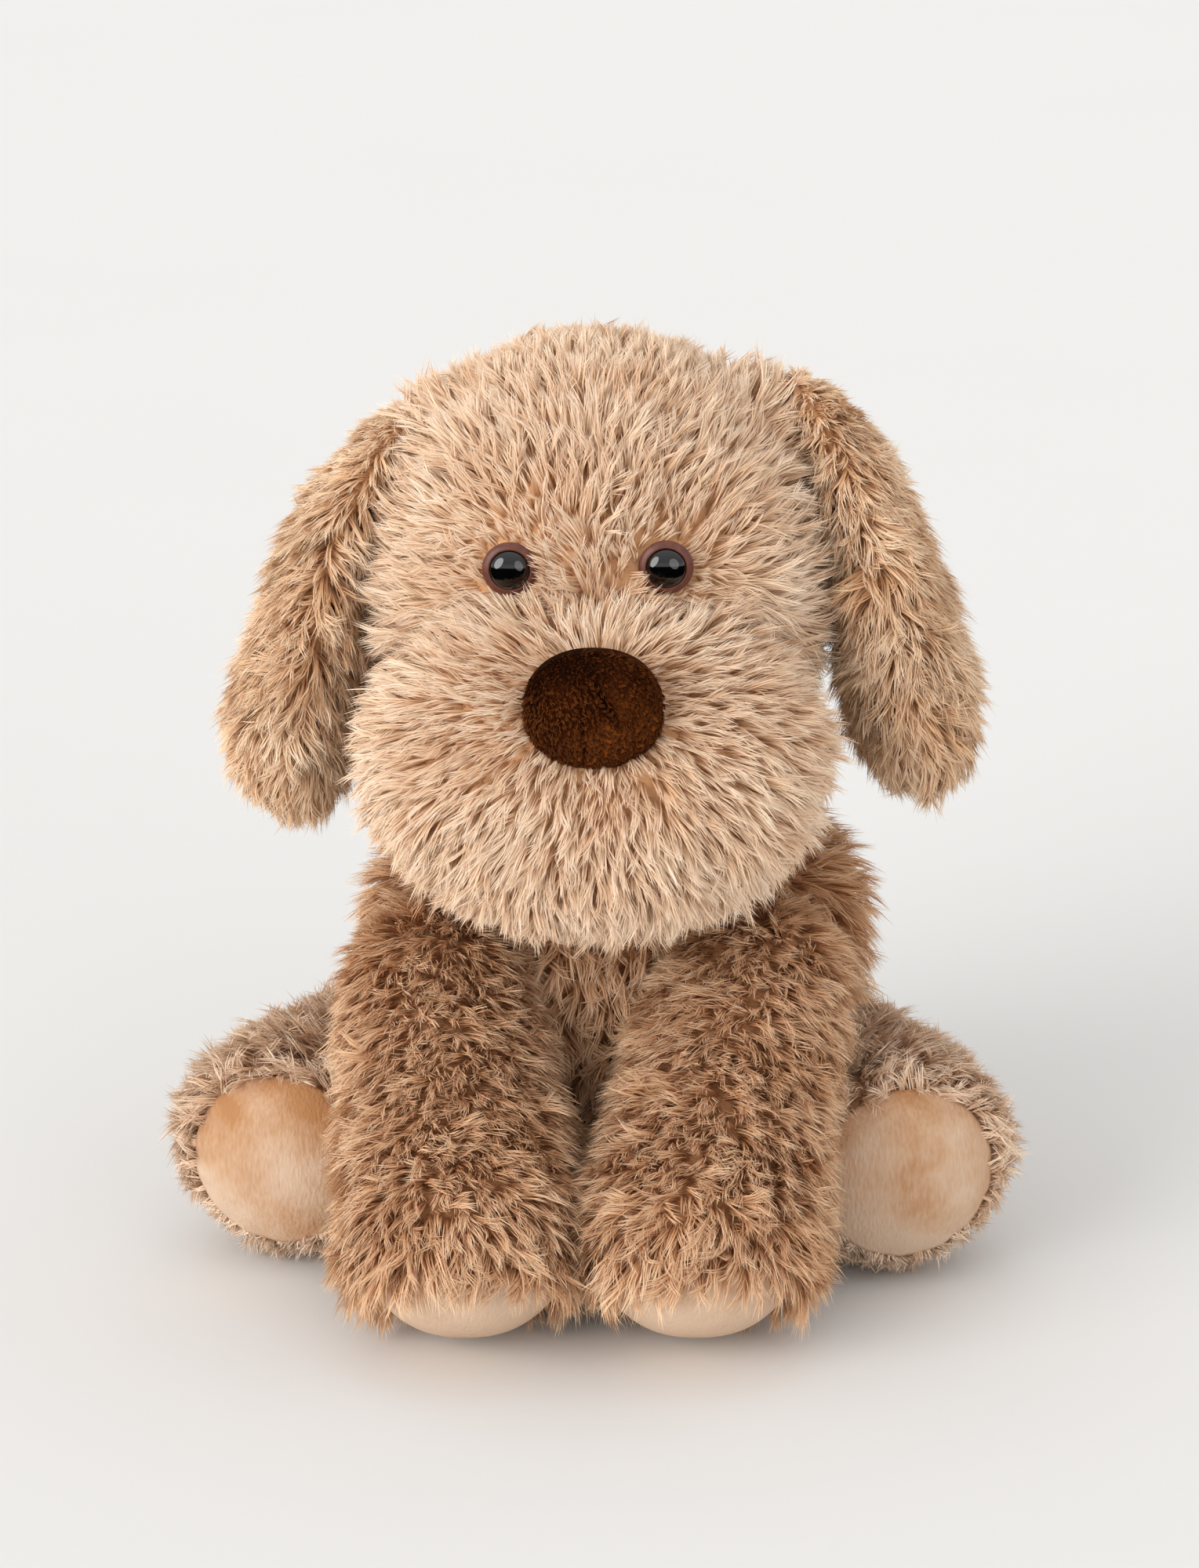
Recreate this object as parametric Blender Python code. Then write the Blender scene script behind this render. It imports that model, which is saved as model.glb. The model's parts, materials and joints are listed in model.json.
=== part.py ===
"""Seated plush dog: fur covers with stuffing, velour soles and nose, and safety eyes.

Sizes are in millimetres and become metres when a mesh is made.
The dog faces -Y, +X is its left side, and it sits on the plane Z = 0.
"Left" and "right" in the names are as seen from the front: left is towards -X.
Every soft piece is the space inside a field, a function that is negative inside the piece.
Its surface is found along rays from a centre, so nested pieces never meet.
"""
import math

import bpy
import numpy as np

MM = 0.001

# Fabric and clearances
COVER_THICKNESS = 2.6
STUFFING_INSET = 4.2
LEG_STUFFING_INSET = 5.0
FABRIC_GAP = 0.4
MOVING_GAP = 1.6
POCKET_GAP = 4.0

# Head and muzzle
HEAD_CENTRE = np.array([3.0, -3.0, 236.0])
HEAD_HALF = np.array([72.0, 74.0, 76.0])
MUZZLE_CENTRE = np.array([3.0, -68.0, 190.0])
MUZZLE_HALF = np.array([71.0, 56.0, 52.0])
MUZZLE_RAY_CENTRE = MUZZLE_CENTRE + (0.0, -16.0, -2.0)
NOSE_CENTRE = np.array([2.5, -118.0, 222.0])
NOSE_HALF = np.array([21.5, 13.5, 19.0])
NOSE_RAY_CENTRE = NOSE_CENTRE + (0.0, -5.0, 0.0)
EYE_POSITIONS = {"left": (-24.0, 254.0), "right": (25.5, 255.0)}
EYE_RING_RADIUS = 8.2
EYE_PUPIL_RADIUS = 6.0
EYE_PUPIL_HEIGHT = 3.6
EYE_SHANK_RADIUS = 2.2
EYE_HOLE_RADIUS = 3.0
EYE_LIFT = 1.8
EYE_FORWARD = 1.2
PUPIL_SEAT = 1.35
EYE_SHANK_LENGTH = 9.6
WASHER_RADIUS = 7.0
WASHER_THICKNESS = 1.4
WASHER_DEPTH = 7.2
HEAD_STUFFING_INSET = 11.0
NOSE_STUFFING_INSET = 3.2
MUZZLE_POLE = (0.0, -1.0, 0.1)
NOSE_POLE = (0.0, -1.0, 0.15)

# Neck: the ball of firm stuffing that the head turns and nods on
NECK_PIVOT = np.array([3.0, -2.0, 157.0])
NECK_BALL_RADIUS = 22.0
NECK_SEAM_RADIUS = 23.6
NECK_THREAD_RADIUS = 0.8
HEAD_OPENING_DEGREES = 22.0
TURN_STEPS = (-25.0, -12.0, 0.0, 12.0, 25.0)
NOD_STEPS = (-15.0, 0.0, 6.0)

# Torso
BELLY_CENTRE = np.array([4.0, 14.0, 50.0])
BELLY_HALF = np.array([84.0, 64.0, 66.0])
SHOULDER_CENTRE = np.array([9.0, 4.0, 105.0])
SHOULDER_HALF = np.array([80.0, 52.0, 47.0])
SHOULDER_POWER = 2.5
TORSO_BLEND = 18.0
TORSO_SEGMENTS = 36
TORSO_CENTRE = np.array([3.0, 8.0, 78.0])
BASE_RADIUS = 30.0
BASE_THICKNESS = 2.4
BASE_PANEL_RADIUS = 28.0
NECK_OPENING_RADIUS = 35.0
POUCH_CENTRE = np.array([3.0, 12.0, 21.0])
POUCH_HALF = np.array([36.0, 32.0, 14.0])
POUCH_GAP = 1.4
LABEL_SIZE = (15.0, 26.0, 0.9)
LABEL_STAND_OFF = 2.0
LABEL_DIRECTION = np.array([-0.62, 0.74, -0.26])

# Front legs: shoulder and foot centres
FRONT_LEGS = {
    "left": {"root": (-50.0, -46.0, 100.0), "foot": (-39.5, -113.0, 37.0)},
    "right": {"root": (55.0, -46.0, 101.0), "foot": (36.5, -113.0, 37.0)},
}
FRONT_ROOT_RADIUS = 28.0
FRONT_FOOT_RADIUS = 37.0
FRONT_SOLE_TILT = np.array([0.0, -0.5, -0.866])
FRONT_SOLE_OFFSET = 17.5
FRONT_SOLE_HEIGHT = 18.5
FRONT_SWING_STEPS = (0.0, 10.0, 20.0, 30.0)

# Hind legs: hip and foot centres
HIND_LEGS = {
    "left": {"root": (-66.0, 24.0, 41.0), "foot": (-101.0, -38.0, 41.0)},
    "right": {"root": (72.0, 20.0, 41.0), "foot": (105.0, -50.0, 41.0)},
}
HIND_ROOT_RADIUS = 31.0
HIND_FOOT_RADIUS = 35.0
HIND_SOLE_TURN = 0.2
HIND_SOLE_OFFSET = 20.0
HIND_SOLE_HEIGHT = 9.0
HIND_SPREAD_STEPS = (0.0, 12.0, 25.0)
LEG_RAY_SETBACK = 30.0
SOLE_EDGE_GAP = 0.3

# Tail
TAIL_ROOT = np.array([3.0, 74.0, 36.0])
TAIL_TIP = np.array([3.0, 110.0, 54.0])
TAIL_ROOT_RADIUS = 13.0
TAIL_TIP_RADIUS = 10.0
TAIL_SWING_STEPS = (-25.0, -12.0, 0.0, 12.0, 25.0)

# Ears: stations from the root down, each a centre with half its width along X and Y
EARS = {
    "left": [
        ((-60.0, -6.0, 290.0), 4.0, 9.0), ((-66.0, -7.0, 282.0), 7.5, 17.0),
        ((-78.0, -8.0, 263.0), 9.0, 23.0), ((-87.0, -8.0, 243.0), 10.0, 28.0),
        ((-93.0, -8.0, 218.0), 13.5, 32.0), ((-99.0, -9.0, 193.0), 17.5, 34.0),
        ((-100.0, -10.0, 174.0), 16.0, 29.0), ((-98.0, -10.0, 162.0), 9.0, 17.0),
    ],
    "right": [
        ((69.0, -2.0, 300.0), 4.0, 9.0), ((76.0, -4.0, 293.0), 8.0, 17.0),
        ((88.0, -5.0, 273.0), 10.0, 23.0), ((96.0, -5.0, 250.0), 11.5, 28.0),
        ((103.0, -6.0, 224.0), 15.0, 32.0), ((108.0, -8.0, 200.0), 18.0, 34.0),
        ((111.0, -9.0, 181.0), 16.0, 29.0), ((114.0, -9.0, 169.5), 9.0, 17.0),
    ],
}
EAR_HALF_POINTS = 8
EAR_SEAT_INWARD = 16.0
EAR_SEAT_DOWN = 17.5
EAR_SEAT_RADIUS = 16.0
EAR_SEAT_BLEND = 12.0

# Joint pivots, which are also the origins of the moving pieces
PIVOTS = {
    "torso": np.zeros(3),
    "neck": NECK_PIVOT,
    "head": NECK_PIVOT,
    "ear_left": np.array([-60.0, -6.0, 288.0]),
    "ear_right": np.array([69.0, -2.0, 298.0]),
    "front_leg_left": np.array(FRONT_LEGS["left"]["root"]),
    "front_leg_right": np.array(FRONT_LEGS["right"]["root"]),
    "hind_leg_left": np.array(HIND_LEGS["left"]["root"]),
    "hind_leg_right": np.array(HIND_LEGS["right"]["root"]),
    "tail": TAIL_ROOT,
}

COLOURS = {
    "light_fur": ((0.58, 0.40, 0.25), 0.95),
    "ear_fur": ((0.46, 0.30, 0.18), 0.95),
    "body_fur": ((0.35, 0.21, 0.12), 0.95),
    "hind_fur": ((0.57, 0.41, 0.28), 0.95),
    "velour": ((0.58, 0.36, 0.20), 0.85),
    "nose_velour": ((0.09, 0.03, 0.012), 0.8),
    "stuffing": ((0.88, 0.87, 0.84), 0.9),
    "lining": ((0.62, 0.47, 0.33), 0.9),
    "ring_plastic": ((0.13, 0.045, 0.03), 0.45),
    "pupil_plastic": ((0.006, 0.006, 0.008), 0.06),
    "washer_plastic": ((0.80, 0.80, 0.78), 0.4),
    "thread": ((0.40, 0.27, 0.16), 0.7),
    "ribbon": ((0.90, 0.89, 0.86), 0.6),
}


def unit(vector):
    """A vector scaled to length one."""
    vector = np.asarray(vector, dtype=float)
    return vector / np.linalg.norm(vector)


def rotation(axis, degrees):
    """The matrix that turns column vectors about an axis by the right-hand rule."""
    x, y, z = unit(axis)
    angle = math.radians(degrees)
    cross = np.array([[0.0, -z, y], [z, 0.0, -x], [-y, x, 0.0]])
    return np.eye(3) + math.sin(angle) * cross + (1.0 - math.cos(angle)) * cross @ cross


def ellipsoid(points, centre, half, power=2.0):
    """Roughly the distance outside an ellipsoid; a power over 2 squares its shoulders."""
    scaled = np.abs((points - centre) / half)
    norm = np.sum(scaled ** power, axis=1) ** (1.0 / power)
    return (norm - 1.0) * float(np.min(half))


def capsule(points, start, end, start_radius, end_radius):
    """The distance outside a rounded rod whose radius changes along its length."""
    start = np.asarray(start, dtype=float)
    axis = np.asarray(end, dtype=float) - start
    along = np.clip((points - start) @ axis / (axis @ axis), 0.0, 1.0)
    nearest = start + along[:, None] * axis
    return np.linalg.norm(points - nearest, axis=1) - (start_radius + along * (end_radius - start_radius))


def smooth_union(first, second, width):
    """The smaller of two fields, with a fillet where they cross."""
    mix = np.clip(0.5 + 0.5 * (second - first) / width, 0.0, 1.0)
    return second + (first - second) * mix - width * mix * (1.0 - mix)


def swept(field, pivot, axis, angles):
    """The field of everything that a piece passes through as its joint turns."""
    def combined(points):
        return np.min([field((points - pivot) @ rotation(axis, angle) + pivot) for angle in angles], axis=0)
    return combined


def skull(points):
    """The head ball, with a padded bump under the root of each ear."""
    field = ellipsoid(points, HEAD_CENTRE, HEAD_HALF)
    for side in ("left", "right"):
        pivot = PIVOTS["ear_" + side]
        inward = -math.copysign(EAR_SEAT_INWARD, pivot[0])
        seat = pivot + np.array([inward, 0.0, -EAR_SEAT_DOWN])
        bump = np.linalg.norm(points - seat, axis=1) - EAR_SEAT_RADIUS
        field = smooth_union(field, bump, EAR_SEAT_BLEND)
    return field


def head_space(points):
    """The head and the muzzle together."""
    return np.minimum(skull(points), ellipsoid(points, MUZZLE_CENTRE, MUZZLE_HALF))


def muzzle_space(points):
    """The muzzle ball, cut away where the head is."""
    ball = ellipsoid(points, MUZZLE_CENTRE, MUZZLE_HALF)
    return np.maximum(ball, POCKET_GAP - skull(points))


def neck_ball(points):
    """The ball of stuffing at the neck."""
    return np.linalg.norm(points - NECK_PIVOT, axis=1) - NECK_BALL_RADIUS


def nose_space(points):
    """The nose, cut away where the muzzle is."""
    return np.maximum(ellipsoid(points, NOSE_CENTRE, NOSE_HALF),
                      FABRIC_GAP - ellipsoid(points, MUZZLE_CENTRE, MUZZLE_HALF))


def front_leg_space(side):
    """The field of one front leg, whose foot is a full ball."""
    leg = FRONT_LEGS[side]
    return lambda points: capsule(points, leg["root"], leg["foot"], FRONT_ROOT_RADIUS, FRONT_FOOT_RADIUS)


def hind_leg_space(side):
    """The field of one hind leg, whose foot is a full ball."""
    leg = HIND_LEGS[side]
    return lambda points: capsule(points, leg["root"], leg["foot"], HIND_ROOT_RADIUS, HIND_FOOT_RADIUS)


def tail_space(points):
    """The tail."""
    return capsule(points, TAIL_ROOT, TAIL_TIP, TAIL_ROOT_RADIUS, TAIL_TIP_RADIUS)


def outward_sign(side):
    """-1 on the left, +1 on the right."""
    return -1.0 if side == "left" else 1.0


def torso_keep_outs():
    """The spaces that the moving pieces need at every joint position."""
    spaces = [neck_ball, swept(tail_space, TAIL_ROOT, (0, 0, 1), TAIL_SWING_STEPS)]
    for nod in NOD_STEPS:
        nodded = swept(head_space, NECK_PIVOT, (1, 0, 0), (nod,))
        spaces.append(swept(nodded, NECK_PIVOT, (0, 0, 1), TURN_STEPS))
    for side in ("left", "right"):
        root = PIVOTS["front_leg_" + side]
        spaces.append(swept(front_leg_space(side), root, (-1, 0, 0), FRONT_SWING_STEPS))
        hip = PIVOTS["hind_leg_" + side]
        spread_axis = (0.0, 0.0, outward_sign(side))
        spaces.append(swept(hind_leg_space(side), hip, spread_axis, HIND_SPREAD_STEPS))
    return spaces


def torso_space(points):
    """The belly and shoulders, flat underneath, with pockets for the moving pieces."""
    belly = ellipsoid(points, BELLY_CENTRE, BELLY_HALF)
    shoulders = ellipsoid(points, SHOULDER_CENTRE, SHOULDER_HALF, SHOULDER_POWER)
    body = np.maximum(smooth_union(belly, shoulders, TORSO_BLEND), -points[:, 2])
    for space in torso_keep_outs():
        body = np.maximum(body, POCKET_GAP - space(points))
    return body


def frame_of(pole):
    """Two directions square to the pole, and the pole itself."""
    pole = unit(pole)
    helper = np.array([1.0, 0.0, 0.0]) if abs(pole[0]) < 0.8 else np.array([0.0, 1.0, 0.0])
    side = unit(np.cross(helper, pole))
    return side, np.cross(pole, side), pole


def ray_radii(field, centre, directions, reach=150.0, step=1.5):
    """How far each ray runs from the centre before it first leaves the field."""
    lengths = np.arange(step, reach, step)
    points = centre + directions[:, None, :] * lengths[None, :, None]
    outside = field(points.reshape(-1, 3)).reshape(len(directions), -1) > 0.0
    first = np.argmax(outside, axis=1)
    low = lengths[first] - step
    high = lengths[first]
    for _ in range(14):
        middle = (low + high) / 2.0
        out = field(centre + directions * middle[:, None]) > 0.0
        high = np.where(out, middle, high)
        low = np.where(out, low, middle)
    return low


def ray_loops(field, centre, pole, angles, segments, inset=0.0):
    """Loops of surface points round the pole, one for each angle from the pole in degrees."""
    side, up, pole = frame_of(pole)
    loops = []
    for angle in np.radians(angles):
        turns = np.arange(segments) * 2.0 * math.pi / segments
        ring = np.cos(turns)[:, None] * side + np.sin(turns)[:, None] * up
        directions = math.cos(angle) * pole + math.sin(angle) * ring
        radii = ray_radii(field, centre, directions) - inset
        loops.append(centre + directions * radii[:, None])
    return loops


def ray_tip(field, centre, direction, inset=0.0):
    """The surface point straight along one direction."""
    direction = unit(direction)
    return centre + direction * (ray_radii(field, centre, direction[None, :])[0] - inset)


def turned_loops(profile, centre, pole, segments):
    """Loops of a turned piece: each profile point is a radius and a height along the pole."""
    side, up, pole = frame_of(pole)
    turns = np.arange(segments) * 2.0 * math.pi / segments
    ring = np.cos(turns)[:, None] * side + np.sin(turns)[:, None] * up
    return [centre + pole * height + ring * radius for radius, height in profile]


def make_material(slot):
    """A Principled material for one slot, made once."""
    existing = bpy.data.materials.get(slot)
    if existing:
        return existing
    colour, roughness = COLOURS[slot]
    material = bpy.data.materials.new(slot)
    material.use_nodes = True
    shader = material.node_tree.nodes["Principled BSDF"]
    shader.inputs["Base Color"].default_value = (*colour, 1.0)
    shader.inputs["Roughness"].default_value = roughness
    return material


def add_node(name, body, slot, loops, first_tip=None, last_tip=None, ring_closed=False, smooth=True,
             turns_back_at=None):
    """One closed mesh from loops of points, ended by tips or joined into a ring.

    A shell's loops go out and come back. From turns_back_at on, the squares are split along
    their other diagonal, so that the inner triangles lie exactly under the outer ones.
    """
    count = len(loops[0])
    vertices = [point for loop in loops for point in loop]
    pairs = [(index, index + 1) for index in range(len(loops) - 1)]
    if ring_closed:
        pairs.append((len(loops) - 1, 0))
    faces = []
    for lower, upper in pairs:
        for index in range(count):
            following = (index + 1) % count
            corner = lower * count + index
            beside = lower * count + following
            above = upper * count + index
            across = upper * count + following
            if turns_back_at is not None and lower >= turns_back_at:
                faces.append((corner, beside, above))
                faces.append((beside, across, above))
            else:
                faces.append((corner, beside, across))
                faces.append((corner, across, above))
    for tip, loop_index in ((first_tip, 0), (last_tip, len(loops) - 1)):
        if tip is None:
            continue
        vertices.append(tip)
        tip_index = len(vertices) - 1
        for index in range(count):
            corner = loop_index * count + index
            beside = loop_index * count + (index + 1) % count
            faces.append((tip_index, beside, corner) if loop_index == 0 else (tip_index, corner, beside))
    points = np.array(vertices)
    triangles = points[np.array(faces)]
    volume = np.sum(triangles[:, 0] * np.cross(triangles[:, 1], triangles[:, 2]))
    if volume < 0.0:
        faces = [face[::-1] for face in faces]
    mesh = bpy.data.meshes.new(name)
    mesh.from_pydata(((points - PIVOTS[body]) * MM).tolist(), [], faces)
    mesh.materials.append(make_material(slot))
    if smooth:
        mesh.shade_smooth()
        mesh.set_sharp_from_angle(angle=math.radians(40.0))
    node = bpy.data.objects.new(name, mesh)
    bpy.context.scene.collection.objects.link(node)
    node.parent = bpy.data.objects[body + "_pivot"]
    return node


def add_pivots():
    """One empty at each body's joint; its pieces are parented to it."""
    for body, pivot in PIVOTS.items():
        empty = bpy.data.objects.new(body + "_pivot", None)
        empty.location = pivot * MM
        bpy.context.scene.collection.objects.link(empty)
    bpy.context.view_layer.update()


def even_angles(rings):
    """Ring angles from pole to pole, without the poles themselves."""
    return np.linspace(0.0, 180.0, rings + 1)[1:-1]


def add_solid(name, body, slot, field, centre, pole, angles, segments, inset=0.0):
    """A closed solid, such as a piece of stuffing."""
    loops = ray_loops(field, centre, pole, angles, segments, inset)
    first = ray_tip(field, centre, pole, inset)
    last = ray_tip(field, centre, -unit(pole), inset)
    return add_node(name, body, slot, loops, first, last)


def add_cover(name, body, slot, field, centre, pole, angles, segments, closed_start):
    """A fabric shell open at the far end of its angles, and at the start unless closed there."""
    outer = ray_loops(field, centre, pole, angles, segments)
    inner = ray_loops(field, centre, pole, angles, segments, COVER_THICKNESS)[::-1]
    if not closed_start:
        return add_node(name, body, slot, outer + inner, ring_closed=True, turns_back_at=len(outer))
    outer_tip = ray_tip(field, centre, pole)
    inner_tip = ray_tip(field, centre, pole, COVER_THICKNESS)
    return add_node(name, body, slot, outer + inner, outer_tip, inner_tip, turns_back_at=len(outer))


def add_torso():
    """The torso's cover, stuffing, seat panel, pellet pouch and blank label."""
    base_angle = math.degrees(math.atan2(BASE_RADIUS + FABRIC_GAP, TORSO_CENTRE[2]))
    neck_angle = 180.0 - math.degrees(math.atan2(NECK_OPENING_RADIUS, NECK_PIVOT[2] - TORSO_CENTRE[2]))
    angles = np.linspace(base_angle, neck_angle, 17)
    add_cover("torso_cover", "torso", "body_fur", torso_space, TORSO_CENTRE, (0, 0, -1), angles,
              TORSO_SEGMENTS, False)

    def stuffing_space(points):
        body = np.maximum(torso_space(points), BASE_THICKNESS + FABRIC_GAP - points[:, 2])
        return np.maximum(body, POUCH_GAP - ellipsoid(points, POUCH_CENTRE, POUCH_HALF))

    angles = np.concatenate([[base_angle / 2.0], angles, [(neck_angle + 180.0) / 2.0]])
    add_solid("torso_stuffing", "torso", "stuffing", stuffing_space, TORSO_CENTRE, (0, 0, -1),
              angles, TORSO_SEGMENTS, STUFFING_INSET)
    panel = turned_loops([(BASE_PANEL_RADIUS, 0.0), (BASE_PANEL_RADIUS, BASE_THICKNESS)],
                         np.array([TORSO_CENTRE[0], TORSO_CENTRE[1], 0.0]), (0, 0, 1), 28)
    add_node("base_panel", "torso", "lining", panel, panel[0].mean(axis=0), panel[1].mean(axis=0),
             smooth=False)

    def pouch(points):
        return ellipsoid(points, POUCH_CENTRE, POUCH_HALF)

    add_solid("pellet_pouch", "torso", "lining", pouch, POUCH_CENTRE, (0, 0, 1), even_angles(8), 14)
    direction = unit(LABEL_DIRECTION)
    start = ray_tip(torso_space, TORSO_CENTRE, direction, -LABEL_STAND_OFF)
    width, length, thickness = LABEL_SIZE
    across = unit(np.cross((0, 0, 1), direction)) * width / 2.0
    through = unit(np.cross(direction, across)) * thickness / 2.0
    corners = [across + through, through - across, -across - through, across - through]
    loops = [np.array([start + direction * distance + corner for corner in corners])
             for distance in (0.0, length / 2.0, length)]
    add_node("care_label", "torso", "ribbon", loops, loops[0].mean(axis=0), loops[-1].mean(axis=0),
             smooth=False)


def add_neck():
    """The ball of firm stuffing and the gathering thread round it."""
    add_solid("neck_stuffing", "neck", "stuffing", neck_ball, NECK_PIVOT, (0, 0, 1), even_angles(10), 18)
    turns = np.arange(6) * math.pi / 3.0
    profile = [(NECK_SEAM_RADIUS + NECK_THREAD_RADIUS * math.cos(turn), NECK_THREAD_RADIUS * math.sin(turn))
               for turn in turns]
    loops = turned_loops(profile, NECK_PIVOT, (0, 0, 1), 24)
    add_node("neck_seam", "neck", "thread", loops, ring_closed=True)


def eye_seat(side):
    """The point on the head under an eye, and the direction that the eye looks."""
    x, z = EYE_POSITIONS[side]
    offset = np.array([x, 0.0, z]) - HEAD_CENTRE
    depth = math.sqrt(1.0 - (offset[0] / HEAD_HALF[0]) ** 2 - (offset[2] / HEAD_HALF[2]) ** 2)
    seat = np.array([x, HEAD_CENTRE[1] - HEAD_HALF[1] * depth, z])
    normal = unit((seat - HEAD_CENTRE) / HEAD_HALF ** 2)
    return seat, unit(normal + np.array([0.0, -EYE_FORWARD, 0.0]))


def cut_eye_holes(cover):
    """Round holes through the head cover for the eye shanks."""
    for side in EYE_POSITIONS:
        seat, outward = eye_seat(side)
        centre = seat - outward * 3.0
        loops = turned_loops([(EYE_HOLE_RADIUS, -8.0), (EYE_HOLE_RADIUS, 8.0)], centre, outward, 12)
        cutter = add_node("eye_cutter_" + side, "head", "lining", loops,
                          loops[0].mean(axis=0), loops[1].mean(axis=0), smooth=False)
        cutter.hide_render = True
        cutter.display_type = "WIRE"
        modifier = cover.modifiers.new("eye_hole_" + side, "BOOLEAN")
        modifier.operation = "DIFFERENCE"
        modifier.object = cutter


def add_eye(side):
    """A safety eye: ring with its shank, glossy pupil, and the washer that locks it inside."""
    seat, outward = eye_seat(side)
    lift = seat + outward * EYE_LIFT
    ring_profile = [
        (EYE_SHANK_RADIUS, -EYE_SHANK_LENGTH), (EYE_SHANK_RADIUS, 0.0), (EYE_RING_RADIUS - 0.6, 0.0),
        (EYE_RING_RADIUS, 0.8), (EYE_RING_RADIUS - 0.5, 1.7), (EYE_PUPIL_RADIUS + 0.3, 2.4),
        (EYE_PUPIL_RADIUS + 0.3, 1.0),
    ]
    loops = turned_loops(ring_profile, lift, outward, 16)
    add_node("eye_ring_" + side, "head", "ring_plastic", loops,
             lift - outward * EYE_SHANK_LENGTH, lift + outward * 1.0)
    dome = [(EYE_PUPIL_RADIUS, PUPIL_SEAT)]
    for step in range(5):
        angle = step * math.radians(18.0)
        dome.append((EYE_PUPIL_RADIUS * math.cos(angle), 2.2 + (EYE_PUPIL_HEIGHT - 0.85) * math.sin(angle)))
    loops = turned_loops(dome, lift, outward, 16)
    add_node("eye_pupil_" + side, "head", "pupil_plastic", loops,
             lift + outward * PUPIL_SEAT, lift + outward * (PUPIL_SEAT + EYE_PUPIL_HEIGHT))
    back = seat - outward * WASHER_DEPTH
    inner = EYE_SHANK_RADIUS + 0.3
    outer = WASHER_RADIUS
    washer = [(inner, 0.0), (outer, 0.0), (outer, WASHER_THICKNESS), (inner, WASHER_THICKNESS)]
    loops = turned_loops(washer, back, outward, 12)
    add_node("eye_washer_" + side, "head", "washer_plastic", loops, ring_closed=True)


def add_head():
    """The head, muzzle, nose and eyes."""
    angles = np.linspace(12.0, 180.0 - HEAD_OPENING_DEGREES, 14)
    cover = add_cover("head_cover", "head", "light_fur", skull, HEAD_CENTRE, (0, 0, 1), angles, 26, True)
    cut_eye_holes(cover)

    def stuffing_space(points):
        return np.maximum(skull(points), MOVING_GAP - neck_ball(points))

    add_solid("head_stuffing", "head", "stuffing", stuffing_space, HEAD_CENTRE, (0, 0, 1),
              even_angles(10), 18, HEAD_STUFFING_INSET)
    angles = np.linspace(14.0, 150.0, 11)
    add_cover("muzzle_cover", "head", "light_fur", muzzle_space, MUZZLE_RAY_CENTRE, MUZZLE_POLE, angles,
              24, True)
    angles = np.append(angles, 165.0)
    add_solid("muzzle_stuffing", "head", "stuffing", muzzle_space, MUZZLE_RAY_CENTRE, MUZZLE_POLE, angles,
              24, STUFFING_INSET)
    angles = np.linspace(20.0, 140.0, 6)
    add_cover("nose_cover", "head", "nose_velour", nose_space, NOSE_RAY_CENTRE, NOSE_POLE, angles, 16, True)
    add_solid("nose_stuffing", "head", "stuffing", nose_space, NOSE_RAY_CENTRE, NOSE_POLE,
              np.append(angles, 160.0), 16, NOSE_STUFFING_INSET)
    for side in EYE_POSITIONS:
        add_eye(side)


def ear_panel_loops(stations, sign):
    """Half of an ear, on the side away from the head for sign +1: loops of D-shaped sections."""
    loops = []
    turns = np.linspace(-math.pi / 2.0, math.pi / 2.0, EAR_HALF_POINTS)
    for centre, half_x, half_y in stations:
        centre = np.array(centre)
        outward = math.copysign(1.0, centre[0]) * sign
        x = centre[0] + outward * (FABRIC_GAP / 2.0 + (half_x - FABRIC_GAP) * np.cos(turns))
        y = centre[1] + half_y * np.sin(turns)
        loops.append(np.column_stack([x, y, np.full(len(turns), centre[2])]))
    return loops


def add_ears():
    """Each ear is two panels sewn together edge to edge."""
    for side, stations in EARS.items():
        for panel, sign in (("outer", 1.0), ("inner", -1.0)):
            loops = ear_panel_loops(stations, sign)
            add_node("ear_" + side + "_" + panel, "ear_" + side, "ear_fur", loops,
                     loops[0].mean(axis=0), loops[-1].mean(axis=0))


def cap_profile(radius, height, thickness, steps):
    """A domed sole's profile: out along its outer arc from near the tip, and back along the inner."""
    sphere = (radius ** 2 + height ** 2) / (2.0 * height)
    reach = math.asin(min(1.0, radius / sphere))
    outer = []
    inner = []
    for step in range(1, steps + 1):
        angle = reach * step / steps
        outer.append((sphere * math.sin(angle), sphere * math.cos(angle) - sphere + height))
        small = sphere - thickness
        inner_reach = math.acos((sphere - height) / small)
        angle = inner_reach * step / steps
        inner.append((small * math.sin(angle), small * math.cos(angle) - sphere + height))
    return outer + inner[::-1]


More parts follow.
